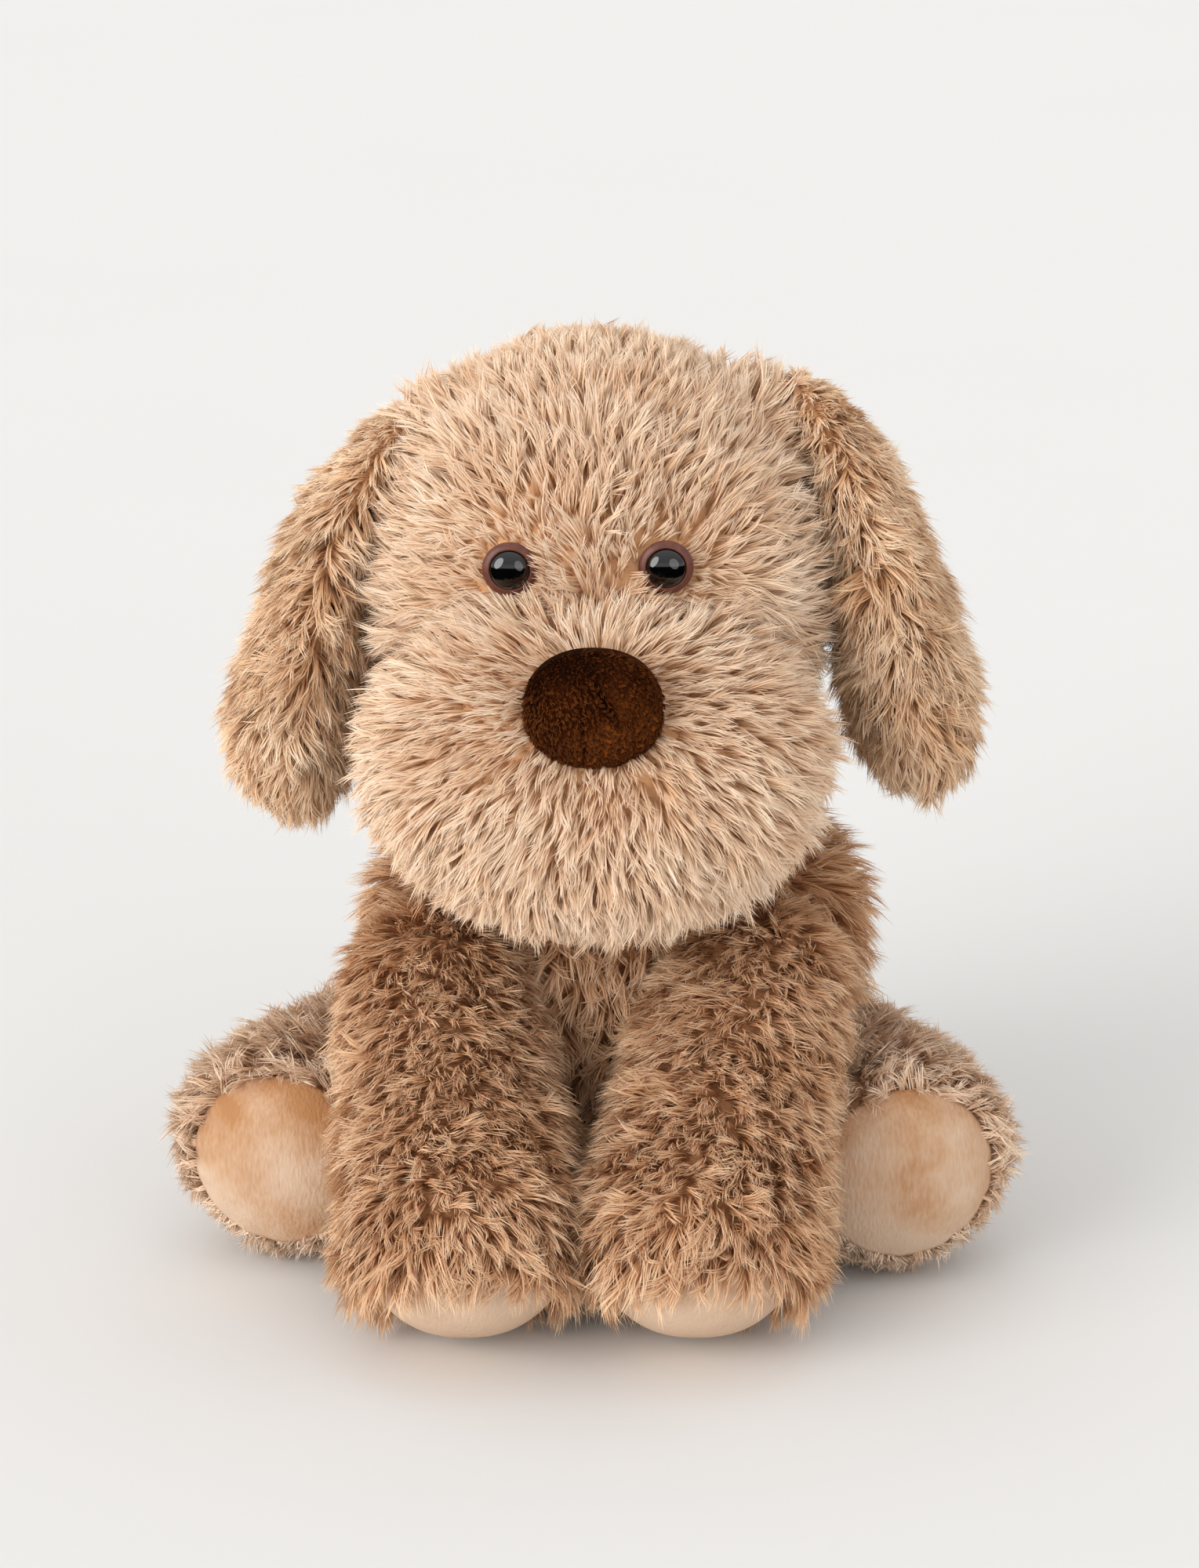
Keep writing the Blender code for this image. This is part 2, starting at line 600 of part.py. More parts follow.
def add_leg(body, slot, field, foot, foot_radius, sole_normal, sole_offset, sole_height):
    """A leg's cover, stuffing and domed sole."""
    foot = np.array(foot)
    normal = unit(sole_normal)
    centre = foot - normal * LEG_RAY_SETBACK
    sole_radius = math.sqrt(foot_radius ** 2 - sole_offset ** 2)
    plane_point = foot + normal * sole_offset
    dome_sphere = (sole_radius ** 2 + sole_height ** 2) / (2.0 * sole_height)
    dome_centre = plane_point - normal * (dome_sphere - sole_height)

    def cover_space(points):
        return np.maximum(field(points), (points - plane_point) @ normal + FABRIC_GAP)

    rim_depth = LEG_RAY_SETBACK + sole_offset - FABRIC_GAP
    rim = math.degrees(math.atan2(sole_radius - SOLE_EDGE_GAP, rim_depth))
    angles = np.linspace(rim, 168.0, 10)
    add_cover(body + "_cover", body, slot, cover_space, centre, normal, angles, 16, False)

    def stuffing_space(points):
        dome = np.linalg.norm(points - dome_centre, axis=1) - dome_sphere
        return np.maximum(field(points), np.minimum(dome, (points - plane_point) @ normal))

    add_solid(body + "_stuffing", body, "stuffing", stuffing_space, centre, normal,
              np.append(rim / 2.0, angles), 16, LEG_STUFFING_INSET)
    profile = cap_profile(sole_radius - SOLE_EDGE_GAP, sole_height, COVER_THICKNESS, 3)
    loops = turned_loops(profile, plane_point, normal, 18)
    add_node(body + "_sole", body, "velour", loops, plane_point + normal * sole_height,
             plane_point + normal * (sole_height - COVER_THICKNESS))


def add_legs():
    """The two front legs and the two hind legs."""
    for side, leg in FRONT_LEGS.items():
        add_leg("front_leg_" + side, "body_fur", front_leg_space(side), leg["foot"], FRONT_FOOT_RADIUS,
                FRONT_SOLE_TILT, FRONT_SOLE_OFFSET, FRONT_SOLE_HEIGHT)
    for side, leg in HIND_LEGS.items():
        normal = (HIND_SOLE_TURN * outward_sign(side), -1.0, 0.0)
        add_leg("hind_leg_" + side, "hind_fur", hind_leg_space(side), leg["foot"], HIND_FOOT_RADIUS,
                normal, HIND_SOLE_OFFSET, HIND_SOLE_HEIGHT)


def add_tail():
    """The tail's cover and stuffing."""
    middle = (TAIL_ROOT + TAIL_TIP) / 2.0
    pole = unit(TAIL_TIP - TAIL_ROOT)
    angles = np.linspace(20.0, 158.0, 8)
    add_cover("tail_cover", "tail", "hind_fur", tail_space, middle, pole, angles, 14, True)
    add_solid("tail_stuffing", "tail", "stuffing", tail_space, middle, pole, angles, 14, STUFFING_INSET)


for old in list(bpy.data.objects):
    bpy.data.objects.remove(old, do_unlink=True)
add_pivots()
add_torso()
add_neck()
add_head()
add_ears()
add_legs()
add_tail()
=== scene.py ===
"""Looks of the seated plush dog: soft skins, combed fur, velour, glossy eyes, light and camera.

Lengths are in metres. The dog faces -Y and sits on Z = 0. Every soft form is the space inside
a field, a function that is negative inside the form, and its skin is found along rays.
"""
import json
import math

import bmesh
import bpy
import numpy as np
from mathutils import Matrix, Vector
from mathutils.kdtree import KDTree


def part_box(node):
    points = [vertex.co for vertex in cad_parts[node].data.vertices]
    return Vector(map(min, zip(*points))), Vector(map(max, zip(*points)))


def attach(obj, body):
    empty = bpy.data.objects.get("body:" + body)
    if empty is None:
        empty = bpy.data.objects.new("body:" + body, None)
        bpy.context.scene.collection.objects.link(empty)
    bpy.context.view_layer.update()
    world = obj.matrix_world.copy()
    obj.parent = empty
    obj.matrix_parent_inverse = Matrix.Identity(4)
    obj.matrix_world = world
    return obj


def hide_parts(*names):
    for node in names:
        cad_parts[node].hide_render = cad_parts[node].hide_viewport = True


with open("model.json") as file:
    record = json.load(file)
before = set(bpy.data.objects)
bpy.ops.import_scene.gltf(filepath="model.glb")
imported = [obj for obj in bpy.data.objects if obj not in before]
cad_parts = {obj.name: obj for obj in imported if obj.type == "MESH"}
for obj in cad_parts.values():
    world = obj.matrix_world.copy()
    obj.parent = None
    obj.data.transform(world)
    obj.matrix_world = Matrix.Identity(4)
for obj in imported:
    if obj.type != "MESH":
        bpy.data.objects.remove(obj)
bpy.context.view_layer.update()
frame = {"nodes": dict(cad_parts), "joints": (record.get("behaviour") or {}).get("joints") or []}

SEED = 20

# Skins lie a little inside the CAD forms, so that the fur's roots are covered
SKIN_INSET = 0.0018
SKIN_GRID = (44, 60)
RAY_HALVINGS = 14
NOISE_WAVES = 7
NOISE_SPREAD = 3.2

# Cloth simulation of the soles
CLOTH_PRESSURE = 4.0
CLOTH_FRAMES = 20
SOLE_SWELL = 0.0015

JOINTS = {joint["name"]: np.array(joint["pos_m"]) for joint in frame["joints"]}

random = np.random.default_rng(SEED)


# ---------------------------------------------------------------- shapes

def unit(vectors):
    """Vectors scaled to length one."""
    vectors = np.asarray(vectors, dtype=float)
    return vectors / np.maximum(np.linalg.norm(vectors, axis=-1, keepdims=True), 1e-12)


def middle_and_half(node):
    """The centre of a CAD node's box, and half of its size."""
    low, high = (np.array(corner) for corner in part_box(node))
    return (low + high) / 2.0, (high - low) / 2.0


def ellipsoid(points, centre, half, power=2.0):
    """Roughly the distance outside an ellipsoid; a power over 2 squares its shoulders."""
    scaled = np.abs((points - centre) / half)
    return (np.sum(scaled ** power, axis=-1) ** (1.0 / power) - 1.0) * np.min(half)


def capsule(points, start, end, start_radius, end_radius):
    """The distance outside a rounded rod whose radius changes along its length."""
    axis = end - start
    along = clamp((points - start) @ axis / (axis @ axis))
    nearest = start + along[..., None] * axis
    return np.linalg.norm(points - nearest, axis=-1) - (start_radius + along * (end_radius - start_radius))


def smooth_union(first, second, width):
    """The smaller of two fields, with a fillet where they cross."""
    mix = clamp(0.5 + 0.5 * (second - first) / width)
    return second + (first - second) * mix - width * mix * (1.0 - mix)


def frame_of(pole):
    """Two directions square to the pole, and the pole itself."""
    pole = unit(pole)
    helper = np.array([1.0, 0.0, 0.0]) if abs(pole[0]) < 0.8 else np.array([0.0, 1.0, 0.0])
    side = unit(np.cross(helper, pole))
    return side, np.cross(pole, side), pole


# Head and muzzle
HEAD_HALF = np.array([0.072, 0.074, 0.076])
head_low, head_high = (np.array(corner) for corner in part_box("head_cover"))
HEAD_CENTRE = np.array([(head_low[0] + head_high[0]) / 2, (head_low[1] + head_high[1]) / 2,
                        head_high[2] - HEAD_HALF[2]])
EAR_SEAT_INWARD = 0.016
EAR_SEAT_DOWN = 0.0175
EAR_SEAT_RADIUS = 0.016
EAR_SEAT_FILLET = 0.012
MUZZLE_HALF = np.array([0.071, 0.056, 0.052])
muzzle_low, muzzle_high = (np.array(corner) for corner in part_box("muzzle_cover"))
MUZZLE_CENTRE = np.array([(muzzle_low[0] + muzzle_high[0]) / 2, muzzle_low[1] + MUZZLE_HALF[1],
                          (muzzle_low[2] + muzzle_high[2]) / 2])
NOSE_CENTRE, NOSE_HALF = middle_and_half("nose_cover")
BRIDGE = np.array([HEAD_CENTRE[0], HEAD_CENTRE[1] - 0.088, HEAD_CENTRE[2] + 0.004])

# Torso
BELLY_CENTRE = np.array([0.004, 0.014, 0.050])
BELLY_HALF = np.array([0.084, 0.064, 0.066])
SHOULDER_CENTRE = np.array([0.009, 0.004, 0.105])
SHOULDER_HALF = np.array([0.080, 0.052, 0.047])
TORSO_CENTRE = np.array([0.003, 0.008, 0.078])
SHOULDER_POWER = 2.5
TORSO_FILLET = 0.018
JOIN_GAP = 0.0015

# Legs and tail
FRONT_ROOT = 0.028
FRONT_FOOT = 0.037
HIND_ROOT = 0.031
HIND_FOOT = 0.035
FRONT_SOLE_NORMAL = unit([0.0, -0.5, -0.866])
FRONT_SOLE_OFFSET = 0.0175
HIND_SOLE_OFFSET = 0.020
HIND_SOLE_TURN = 0.2
HIND_SOLE_DEPTH = 0.0045
TAIL_RADII = (0.013, 0.010)
TAIL_REACH = (0.0, 0.036, 0.018)


def side_sign(side):
    """-1 on the left as seen from the front, +1 on the right."""
    return -1.0 if side == "left" else 1.0


def leg_shape(kind, side):
    """Root, foot centre, radii, sole direction and sole plane of a leg."""
    root = JOINTS[f"{kind}_leg_{side}_{'swing' if kind == 'front' else 'spread'}"]
    centre, half = middle_and_half(f"{kind}_leg_{side}_sole")
    if kind == "front":
        low = centre - half
        foot = np.array([centre[0], low[1] + FRONT_FOOT, low[2] + FRONT_FOOT])
        plane = foot + FRONT_SOLE_NORMAL * FRONT_SOLE_OFFSET
        return root, foot, FRONT_ROOT, FRONT_FOOT, FRONT_SOLE_NORMAL, plane
    normal = unit([HIND_SOLE_TURN * side_sign(side), -1.0, 0.0])
    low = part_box(f"hind_leg_{side}_cover")[0]
    plane = centre - normal * HIND_SOLE_DEPTH
    plane[2] = low[2] + HIND_FOOT
    return root, plane - normal * HIND_SOLE_OFFSET, HIND_ROOT, HIND_FOOT, normal, plane


LEGS = {(kind, side): leg_shape(kind, side) for kind in ("front", "hind") for side in ("left", "right")}
TAIL_ROOT = JOINTS["tail_swing"]
TAIL_TIP = TAIL_ROOT + TAIL_REACH


def head_field(points):
    """The skull, with a padded bump under the root of each ear."""
    field = ellipsoid(points, HEAD_CENTRE, HEAD_HALF)
    for side in ("left", "right"):
        seat = JOINTS[f"ear_{side}_lift"] - np.array([side_sign(side) * EAR_SEAT_INWARD, 0.0, EAR_SEAT_DOWN])
        field = smooth_union(field, np.linalg.norm(points - seat, axis=-1) - EAR_SEAT_RADIUS, EAR_SEAT_FILLET)
    return field


def muzzle_field(points):
    """The muzzle ball."""
    return ellipsoid(points, MUZZLE_CENTRE, MUZZLE_HALF)


def leg_field(kind, side):
    """A leg as a rounded rod."""
    root, foot, root_radius, foot_radius, _, _ = LEGS[kind, side]
    return lambda points: capsule(points, root, foot, root_radius, foot_radius)


def cut_leg_field(kind, side):
    """A leg cut flat where its sole is sewn on."""
    rod = leg_field(kind, side)
    _, _, _, _, normal, plane = LEGS[kind, side]
    return lambda points: np.maximum(rod(points), (points - plane) @ normal)


def tail_field(points):
    """The tail."""
    return capsule(points, TAIL_ROOT, TAIL_TIP, *TAIL_RADII)


def torso_field(points):
    """Belly and shoulders, flat underneath, hollowed where the legs and the tail join."""
    belly = ellipsoid(points, BELLY_CENTRE, BELLY_HALF)
    shoulders = ellipsoid(points, SHOULDER_CENTRE, SHOULDER_HALF, SHOULDER_POWER)
    body = np.maximum(smooth_union(belly, shoulders, TORSO_FILLET), -points[..., 2])
    for kind, side in LEGS:
        body = np.maximum(body, JOIN_GAP - leg_field(kind, side)(points))
    for field in (tail_field, head_field, muzzle_field):
        body = np.maximum(body, JOIN_GAP - field(points))
    return body


def ear_rows(side):
    """An ear's sections from the root down, read from its two CAD panels."""
    rows = []
    points = np.concatenate([np.array([v.co for v in frame["nodes"][f"ear_{side}_{panel}"].data.vertices])
                             for panel in ("outer", "inner")])
    for height in np.unique(np.round(points[:, 2], 4)):
        row = points[np.abs(points[:, 2] - height) < 0.0002]
        low, high = row.min(axis=0), row.max(axis=0)
        rows.append((height, (low[0] + high[0]) / 2, (low[1] + high[1]) / 2,
                     (high[0] - low[0]) / 2, (high[1] - low[1]) / 2))
    return np.array(sorted(rows, reverse=True))


EAR_ROWS = {side: ear_rows(side) for side in ("left", "right")}


def ray_radii(field, centre, directions, reach=0.16, step=0.0015):
    """How far each ray runs from the centre before it first leaves the field."""
    lengths = np.arange(step, reach, step)
    points = centre + directions[:, None, :] * lengths[None, :, None]
    outside = field(points.reshape(-1, 3)).reshape(len(directions), -1) > 0.0
    first = np.argmax(outside, axis=1)
    low, high = lengths[first] - step, lengths[first]
    for _ in range(RAY_HALVINGS):
        middle = (low + high) / 2.0
        out = field(centre + directions * middle[:, None]) > 0.0
        high = np.where(out, middle, high)
        low = np.where(out, low, middle)
    return low


def clamp(value):
    """A value held between 0 and 1."""
    return np.minimum(np.maximum(value, 0.0), 1.0)


def fade(value, start, width):
    """0 up to the start, rising to 1 across the width."""
    return clamp((value - start) / width)


def smooth_noise(points, wavelength, seed):
    """A smooth pattern between about -1 and 1, the same on every run."""
    waves = np.random.default_rng(seed)
    total = np.zeros(len(points))
    for _ in range(NOISE_WAVES):
        direction = unit(waves.normal(size=3))
        frequency = 2.0 * math.pi / wavelength * waves.uniform(0.6, 1.5)
        total += np.sin(points @ direction * frequency + waves.uniform(0.0, 6.283))
    return total / NOISE_SPREAD


# ---------------------------------------------------------------- meshes

def new_object(name, vertices, faces, material, smooth=True):
    """A mesh object with one material, its faces turned outward."""
    mesh = bpy.data.meshes.new(name)
    mesh.from_pydata(np.asarray(vertices).tolist(), [], faces)
    shape = bmesh.new()
    shape.from_mesh(mesh)
    bmesh.ops.recalc_face_normals(shape, faces=shape.faces)
    shape.to_mesh(mesh)
    shape.free()
    mesh.materials.append(material)
    if smooth:
        mesh.shade_smooth()
    mesh.update()
    piece = bpy.data.objects.new(name, mesh)
    bpy.context.scene.collection.objects.link(piece)
    return piece


def loop_faces(rings, count, tips):
    """Faces between rings of count points, ended by two tip points when asked."""
    faces = []
    for ring in range(rings - 1):
        for index in range(count):
            following = (index + 1) % count
            faces.append((ring * count + index, ring * count + following,
                          (ring + 1) * count + following, (ring + 1) * count + index))
    if tips:
        first, last = rings * count, rings * count + 1
        for index in range(count):
            following = (index + 1) % count
            faces.append((first, following, index))
            faces.append((last, (rings - 1) * count + index, (rings - 1) * count + following))
    return faces


def turns_of(count):
    """Evenly spaced angles once around."""
    return np.arange(count) * 2.0 * math.pi / count


def ring_of(turns, side, up):
    """Unit steps from a ring's centre towards each angle."""
    return np.cos(turns)[:, None] * side + np.sin(turns)[:, None] * up


def ray_skin(name, field, centre, pole, material, grid=SKIN_GRID, inset=SKIN_INSET):
    """A closed skin found along rays from a centre, a little inside the field's surface."""
    rings, segments = grid
    side, up, pole = frame_of(pole)
    angles = np.linspace(0.0, math.pi, rings + 2)[1:-1]
    ring = ring_of(turns_of(segments), side, up)
    directions = np.concatenate([math.cos(a) * pole + math.sin(a) * ring for a in angles] + [[pole], [-pole]])
    points = centre + directions * (ray_radii(field, centre, directions) - inset)[:, None]
    return new_object(name, points, loop_faces(rings, segments, True), material)


def turned(name, profile, centre, pole, material, segments=64):
    """A turned piece: each profile point is a radius and a height along the pole."""
    side, up, pole = frame_of(pole)
    ring = ring_of(turns_of(segments), side, up)
    points = [centre + pole * height + ring * radius for radius, height in profile]
    tips = [[centre + pole * profile[0][1]], [centre + pole * profile[-1][1]]]
    return new_object(name, np.concatenate(points + tips), loop_faces(len(profile), segments, True), material)


def surface_samples(piece, count):
    """Evenly spread random points on a piece, with their normals."""
    mesh = piece.data
    mesh.calc_loop_triangles()
    corners = np.zeros(len(mesh.loop_triangles) * 3, dtype=np.int64)
    mesh.loop_triangles.foreach_get("vertices", corners)
    corners = corners.reshape(-1, 3)
    points = coordinates_of(mesh)
    normals = np.zeros(len(mesh.vertices) * 3)
    mesh.vertices.foreach_get("normal", normals)
    normals = normals.reshape(-1, 3)
    a, b, c = (points[corners[:, index]] for index in range(3))
    areas = np.linalg.norm(np.cross(b - a, c - a), axis=1) / 2.0
    edges = np.cumsum(areas)
    picks = (np.arange(count) + random.uniform(size=count)) / count * edges[-1]
    chosen = np.minimum(np.searchsorted(edges, picks), len(corners) - 1)
    first = np.sqrt(random.uniform(size=count))[:, None]
    second = random.uniform(size=count)[:, None]
    weights = np.concatenate([1.0 - first, first * (1.0 - second), first * second], axis=1)
    spots = np.einsum("nk,nkc->nc", weights, points[corners[chosen]])
    outward = unit(np.einsum("nk,nkc->nc", weights, normals[corners[chosen]]))
    return spots, outward


def coordinates_of(mesh):
    """A mesh's vertices as an array."""
    points = np.zeros(len(mesh.vertices) * 3)
    mesh.vertices.foreach_get("co", points)
    return points.reshape(-1, 3)


def inflate(piece, held, crown, around, cap):
    """Swells a padded piece by cloth simulation; its seam is held and no point moves past the cap.

    The small faces of the crown move together, by as much as the ring around them.
    """
    rest = coordinates_of(piece.data)
    group = piece.vertex_groups.new(name="seam")
    group.add([int(index) for index in held], 1.0, "REPLACE")
    cloth = piece.modifiers.new("swell", "CLOTH")
    cloth.settings.vertex_group_mass = group.name
    cloth.settings.use_pressure = True
    cloth.settings.uniform_pressure_force = CLOTH_PRESSURE
    cloth.settings.effector_weights.gravity = 0.0
    scene = bpy.context.scene
    for frame_number in range(1, CLOTH_FRAMES + 1):
        scene.frame_set(frame_number)
    swollen = piece.evaluated_get(bpy.context.evaluated_depsgraph_get())
    moved = coordinates_of(swollen.data) - rest
    piece.modifiers.remove(cloth)
    piece.vertex_groups.remove(group)
    scene.frame_set(1)
    length = np.maximum(np.linalg.norm(moved, axis=1, keepdims=True), 1e-9)
    moved *= np.minimum(length, cap) / length
    moved[crown] = moved[around].mean(axis=0)
    piece.data.vertices.foreach_set("co", (rest + moved).ravel())
    piece.data.update()


# ---------------------------------------------------------------- materials

COLOUR_DETAIL = 4.0
BUMP_DETAIL = 3.0
FUR_ROUGHNESS = 0.62
# Colour stops from root to tip; the darker root is painted shade and the paler tip painted light
FIBRE_HEIGHTS = (0.0, 0.45, 1.0)
BACKING_SCALE = 300.0

# Velour: pile and patches by noise scale; it turns darker and golden towards the top, painted shade under the
# overhanging fur
PILE_SCALE = 900.0
PILE_STRETCH = (1.0, 1.0, 0.3)
PATCH_SCALE = 30.0
TOP_SHADE_BY_HEIGHT = -5.5
TOP_SHADE_LEVEL = 0.20
NAP_BY_PILE = 0.22

# Nose velour: painted sheen of the brushed pile along a slope, and painted shade in its creases
NOSE_SHEEN_SLOPE = (9.0, 0.0, -13.0)
NOSE_PATCH_SCALE = 75.0
CREASE_SHADE = -0.45


def linear(red, green, blue):
    """A linear colour from sRGB values out of 255."""
    def channel(value):
        value = value / 255.0
        return value / 12.92 if value <= 0.04045 else ((value + 0.055) / 1.055) ** 2.4
    return (channel(red), channel(green), channel(blue), 1.0)


def connect(tree, socket, value):
    """Sets an input to a value, or links it to another node's output."""
    if isinstance(value, bpy.types.NodeSocket):
        tree.links.new(value, socket)
    else:
        socket.default_value = value


def add(tree, kind, **inputs):
    """A node with some of its inputs set or linked."""
    node = tree.nodes.new("ShaderNode" + kind)
    for name, value in inputs.items():
        connect(tree, node.inputs[name], value)
    return node


def new_material(name, roughness, sheen=0.0, specular=0.3):
    """An empty Principled material, with its node tree and shader."""
    material = bpy.data.materials.new(name)
    material.use_nodes = True
    tree = material.node_tree
    shader = tree.nodes["Principled BSDF"]
    shader.inputs["Roughness"].default_value = roughness
    shader.inputs["Specular IOR Level"].default_value = specular
    shader.inputs["Sheen Weight"].default_value = sheen
    shader.inputs["Sheen Roughness"].default_value = 0.5
    return material, tree, shader


def ramp(tree, amount, stops):
    """A colour over an amount, from stops of position and linear colour."""
    node = add(tree, "ValToRGB", Fac=amount)
    elements = node.color_ramp.elements
    while len(elements) < len(stops):
        elements.new(0.5)
    for element, (position, colour) in zip(elements, stops):
        element.position = position
        element.color = colour
    return node.outputs["Color"]


def fur_material(name, dark, light, specular=0.22):
    """Fibre colour by its own tone across U and by height along V: roots darker as painted shade, tips paler
    as painted light.
    """
    material, tree, shader = new_material(name, FUR_ROUGHNESS, specular=specular)
    uv = add(tree, "UVMap")
    uv.uv_map = "OFBake"
    split = add(tree, "SeparateXYZ", Vector=uv.outputs["UV"])
    mix = add(tree, "Mix", Factor=split.outputs["X"])
    mix.data_type = "RGBA"
    for index, colours in enumerate((dark, light)):
        stops = [(height, linear(*colour)) for height, colour in zip(FIBRE_HEIGHTS, colours)]
        connect(tree, mix.inputs[6 + index], ramp(tree, split.outputs["Y"], stops))
    connect(tree, shader.inputs["Base Color"], mix.outputs[2])
    return material


def noise_node(tree, place, scale, detail):
    """Noise read at a place; returns its value."""
    return add(tree, "TexNoise", Scale=scale, Detail=detail, Vector=place).outputs["Fac"]


def math_node(tree, operation, *values):
    """Arithmetic on numbers and sockets; returns its value."""
    node = add(tree, "Math")
    node.operation = operation
    for socket, value in zip(node.inputs, values):
        connect(tree, socket, value)
    return node.outputs["Value"]


def height_of(tree, place):
    """The Z part of a place."""
    return add(tree, "SeparateXYZ", Vector=place).outputs["Z"]


def base_colour(tree, shader, amount, stops):
    """Base colour from a ramp of sRGB colours over an amount."""
    linear_stops = [(position, linear(*colour)) for position, colour in stops]
    connect(tree, shader.inputs["Base Color"], ramp(tree, amount, linear_stops))


def relief(tree, shader, height, strength, distance):
    """Fine surface relief from a height."""
    bump = add(tree, "Bump", Strength=strength, Distance=distance, Height=height)
    connect(tree, shader.inputs["Normal"], bump.outputs["Normal"])


def noise_colour(tree, shader, scale, stops):
    """Base colour from noise in the object's own space; returns the place that it reads."""
    place = add(tree, "TexCoord").outputs["Object"]
    base_colour(tree, shader, noise_node(tree, place, scale, COLOUR_DETAIL), stops)
    return place


def noise_bump(tree, shader, place, scale, strength, distance):
    """Fine surface relief from noise."""
    relief(tree, shader, noise_node(tree, place, scale, BUMP_DETAIL), strength, distance)


def cloth_material(name, dark, light, scale, roughness=0.85):
    """Short-pile or woven cloth: mottled colour and a fine nap."""
    material, tree, shader = new_material(name, roughness, sheen=0.3, specular=0.15)
    place = noise_colour(tree, shader, scale, [(0.3, dark), (0.7, light)])
    noise_bump(tree, shader, place, PILE_SCALE, 0.5, 0.0004)
    return material


# Two tones per fur, each root, mid and tip: dark roots are painted shade within the pile, pale tips painted
# light through the fibres
HEAD_FUR = fur_material(
    "head_fur",
    ((202, 148, 100), (222, 177, 136), (238, 206, 174)),
    ((224, 176, 130), (243, 213, 180), (253, 238, 218)))
EAR_FUR = fur_material(
    "ear_fur",
    ((186, 130, 82), (217, 168, 122), (236, 200, 160)),
    ((213, 163, 114), (243, 209, 171), (253, 237, 214)))
BODY_FUR = fur_material(
    "body_fur",
    ((164, 107, 63), (204, 150, 104), (234, 192, 150)),
    ((194, 138, 92), (234, 190, 148), (252, 230, 200)))
HIND_FUR = fur_material(
    "hind_fur",
    ((184, 140, 104), (222, 184, 150), (240, 212, 184)),
    ((212, 174, 140), (244, 218, 190), (253, 240, 224)))
HEAD_SKIN = cloth_material("head_backing", (208, 156, 110), (219, 170, 126), BACKING_SCALE)
EAR_SKIN = cloth_material("ear_backing", (184, 134, 90), (198, 148, 104), BACKING_SCALE)
BODY_SKIN = cloth_material("body_backing", (166, 116, 76), (184, 134, 92), BACKING_SCALE)
HIND_SKIN = cloth_material("hind_backing", (190, 148, 112), (206, 166, 130), BACKING_SCALE)
STUFFING = cloth_material("fibre_fill", (226, 224, 218), (246, 245, 242), 220.0)
LINING = cloth_material("lining_cloth", (176, 140, 106), (196, 162, 130), 500.0)
THREAD = cloth_material("thread", (160, 125, 92), (184, 150, 118), 900.0)
RIBBON = cloth_material("ribbon", (232, 230, 225), (247, 246, 243), 700.0, 0.5)


def velour_material():
    """Tan velour with patches and a fine pile, golden brown towards the top as painted shade under the
    overhanging fur.
    """
    material, tree, shader = new_material("tan_velour", 0.9, sheen=0.12, specular=0.08)
    shader.inputs["Sheen Tint"].default_value = linear(232, 205, 178)
    place = add(tree, "TexCoord").outputs["Object"]
    stretch = add(tree, "Mapping", Scale=PILE_STRETCH, Vector=place)
    patches = noise_node(tree, place, PATCH_SCALE, 3.0)
    pile = noise_node(tree, stretch.outputs["Vector"], PILE_SCALE, 2.0)
    height = height_of(tree, place)
    # Darker towards the top: painted shade where the fur hangs over the pad
    top_shade = math_node(tree, "MULTIPLY_ADD", height, TOP_SHADE_BY_HEIGHT, TOP_SHADE_LEVEL)
    streaks = math_node(tree, "MULTIPLY_ADD", pile, NAP_BY_PILE, top_shade)
    total = math_node(tree, "ADD", patches, streaks)
    stops = [(0.34, (182, 132, 90)), (0.50, (202, 164, 132)), (0.66, (214, 186, 161))]
    base_colour(tree, shader, total, stops)
    relief(tree, shader, pile, 0.7, 0.0006)
    return material


VELOUR = velour_material()


def nose_material():
    """Dark brown velour: darkest up on one side and golden low down as painted sheen of its brushed pile,
    with painted shade in its seam and dent.
    """
    material, tree, shader = new_material("brown_velour", 0.95, sheen=0.05, specular=0.03)
    shader.inputs["Sheen Tint"].default_value = linear(130, 66, 28)
    place = add(tree, "TexCoord").outputs["Object"]
    # Golden towards the lower right along the slope: painted sheen of the pile
    slope = add(tree, "VectorMath")
    slope.operation = "DOT_PRODUCT"
    slope.inputs[1].default_value = NOSE_SHEEN_SLOPE
    connect(tree, slope.inputs[0], place)
    # This mask darkens the seam and dent: painted shade
    crease_shade = add(tree, "Attribute")
    crease_shade.attribute_name = "crease_shade"
    level = -float(np.dot(NOSE_SHEEN_SLOPE, NOSE_CENTRE))
    shaded = math_node(tree, "MULTIPLY_ADD", crease_shade.outputs["Fac"], CREASE_SHADE, level)
    offset = math_node(tree, "ADD", slope.outputs["Value"], shaded)
    patches = noise_node(tree, place, NOSE_PATCH_SCALE, 5.0)
    total = math_node(tree, "ADD", patches, offset)
    stops = [(0.22, (26, 8, 2)), (0.50, (58, 24, 7)), (0.72, (128, 68, 24))]
    base_colour(tree, shader, total, stops)
    noise_bump(tree, shader, place, PILE_SCALE, 1.0, 0.0008)
    return material


NOSE_VELOUR = nose_material()
# The nose pile's darker roots and paler tips are painted shade and painted light as well
NOSE_PILE = fur_material(
    "nose_pile",
    ((28, 8, 2), (46, 17, 4), (74, 34, 10)),
    ((52, 21, 5), (88, 43, 12), (126, 70, 28)), 0.05)


def plastic_material(name, dark, light, roughness, coat):
    """Moulded plastic with a trace of mottling and fine wear."""
    material, tree, shader = new_material(name, roughness, specular=0.5)
    shader.inputs["Coat Weight"].default_value = coat
    shader.inputs["Coat Roughness"].default_value = 0.03
    place = noise_colour(tree, shader, 420.0, [(0.3, dark), (0.7, light)])
    noise_bump(tree, shader, place, 1400.0, 0.04, 0.0001)
    return material


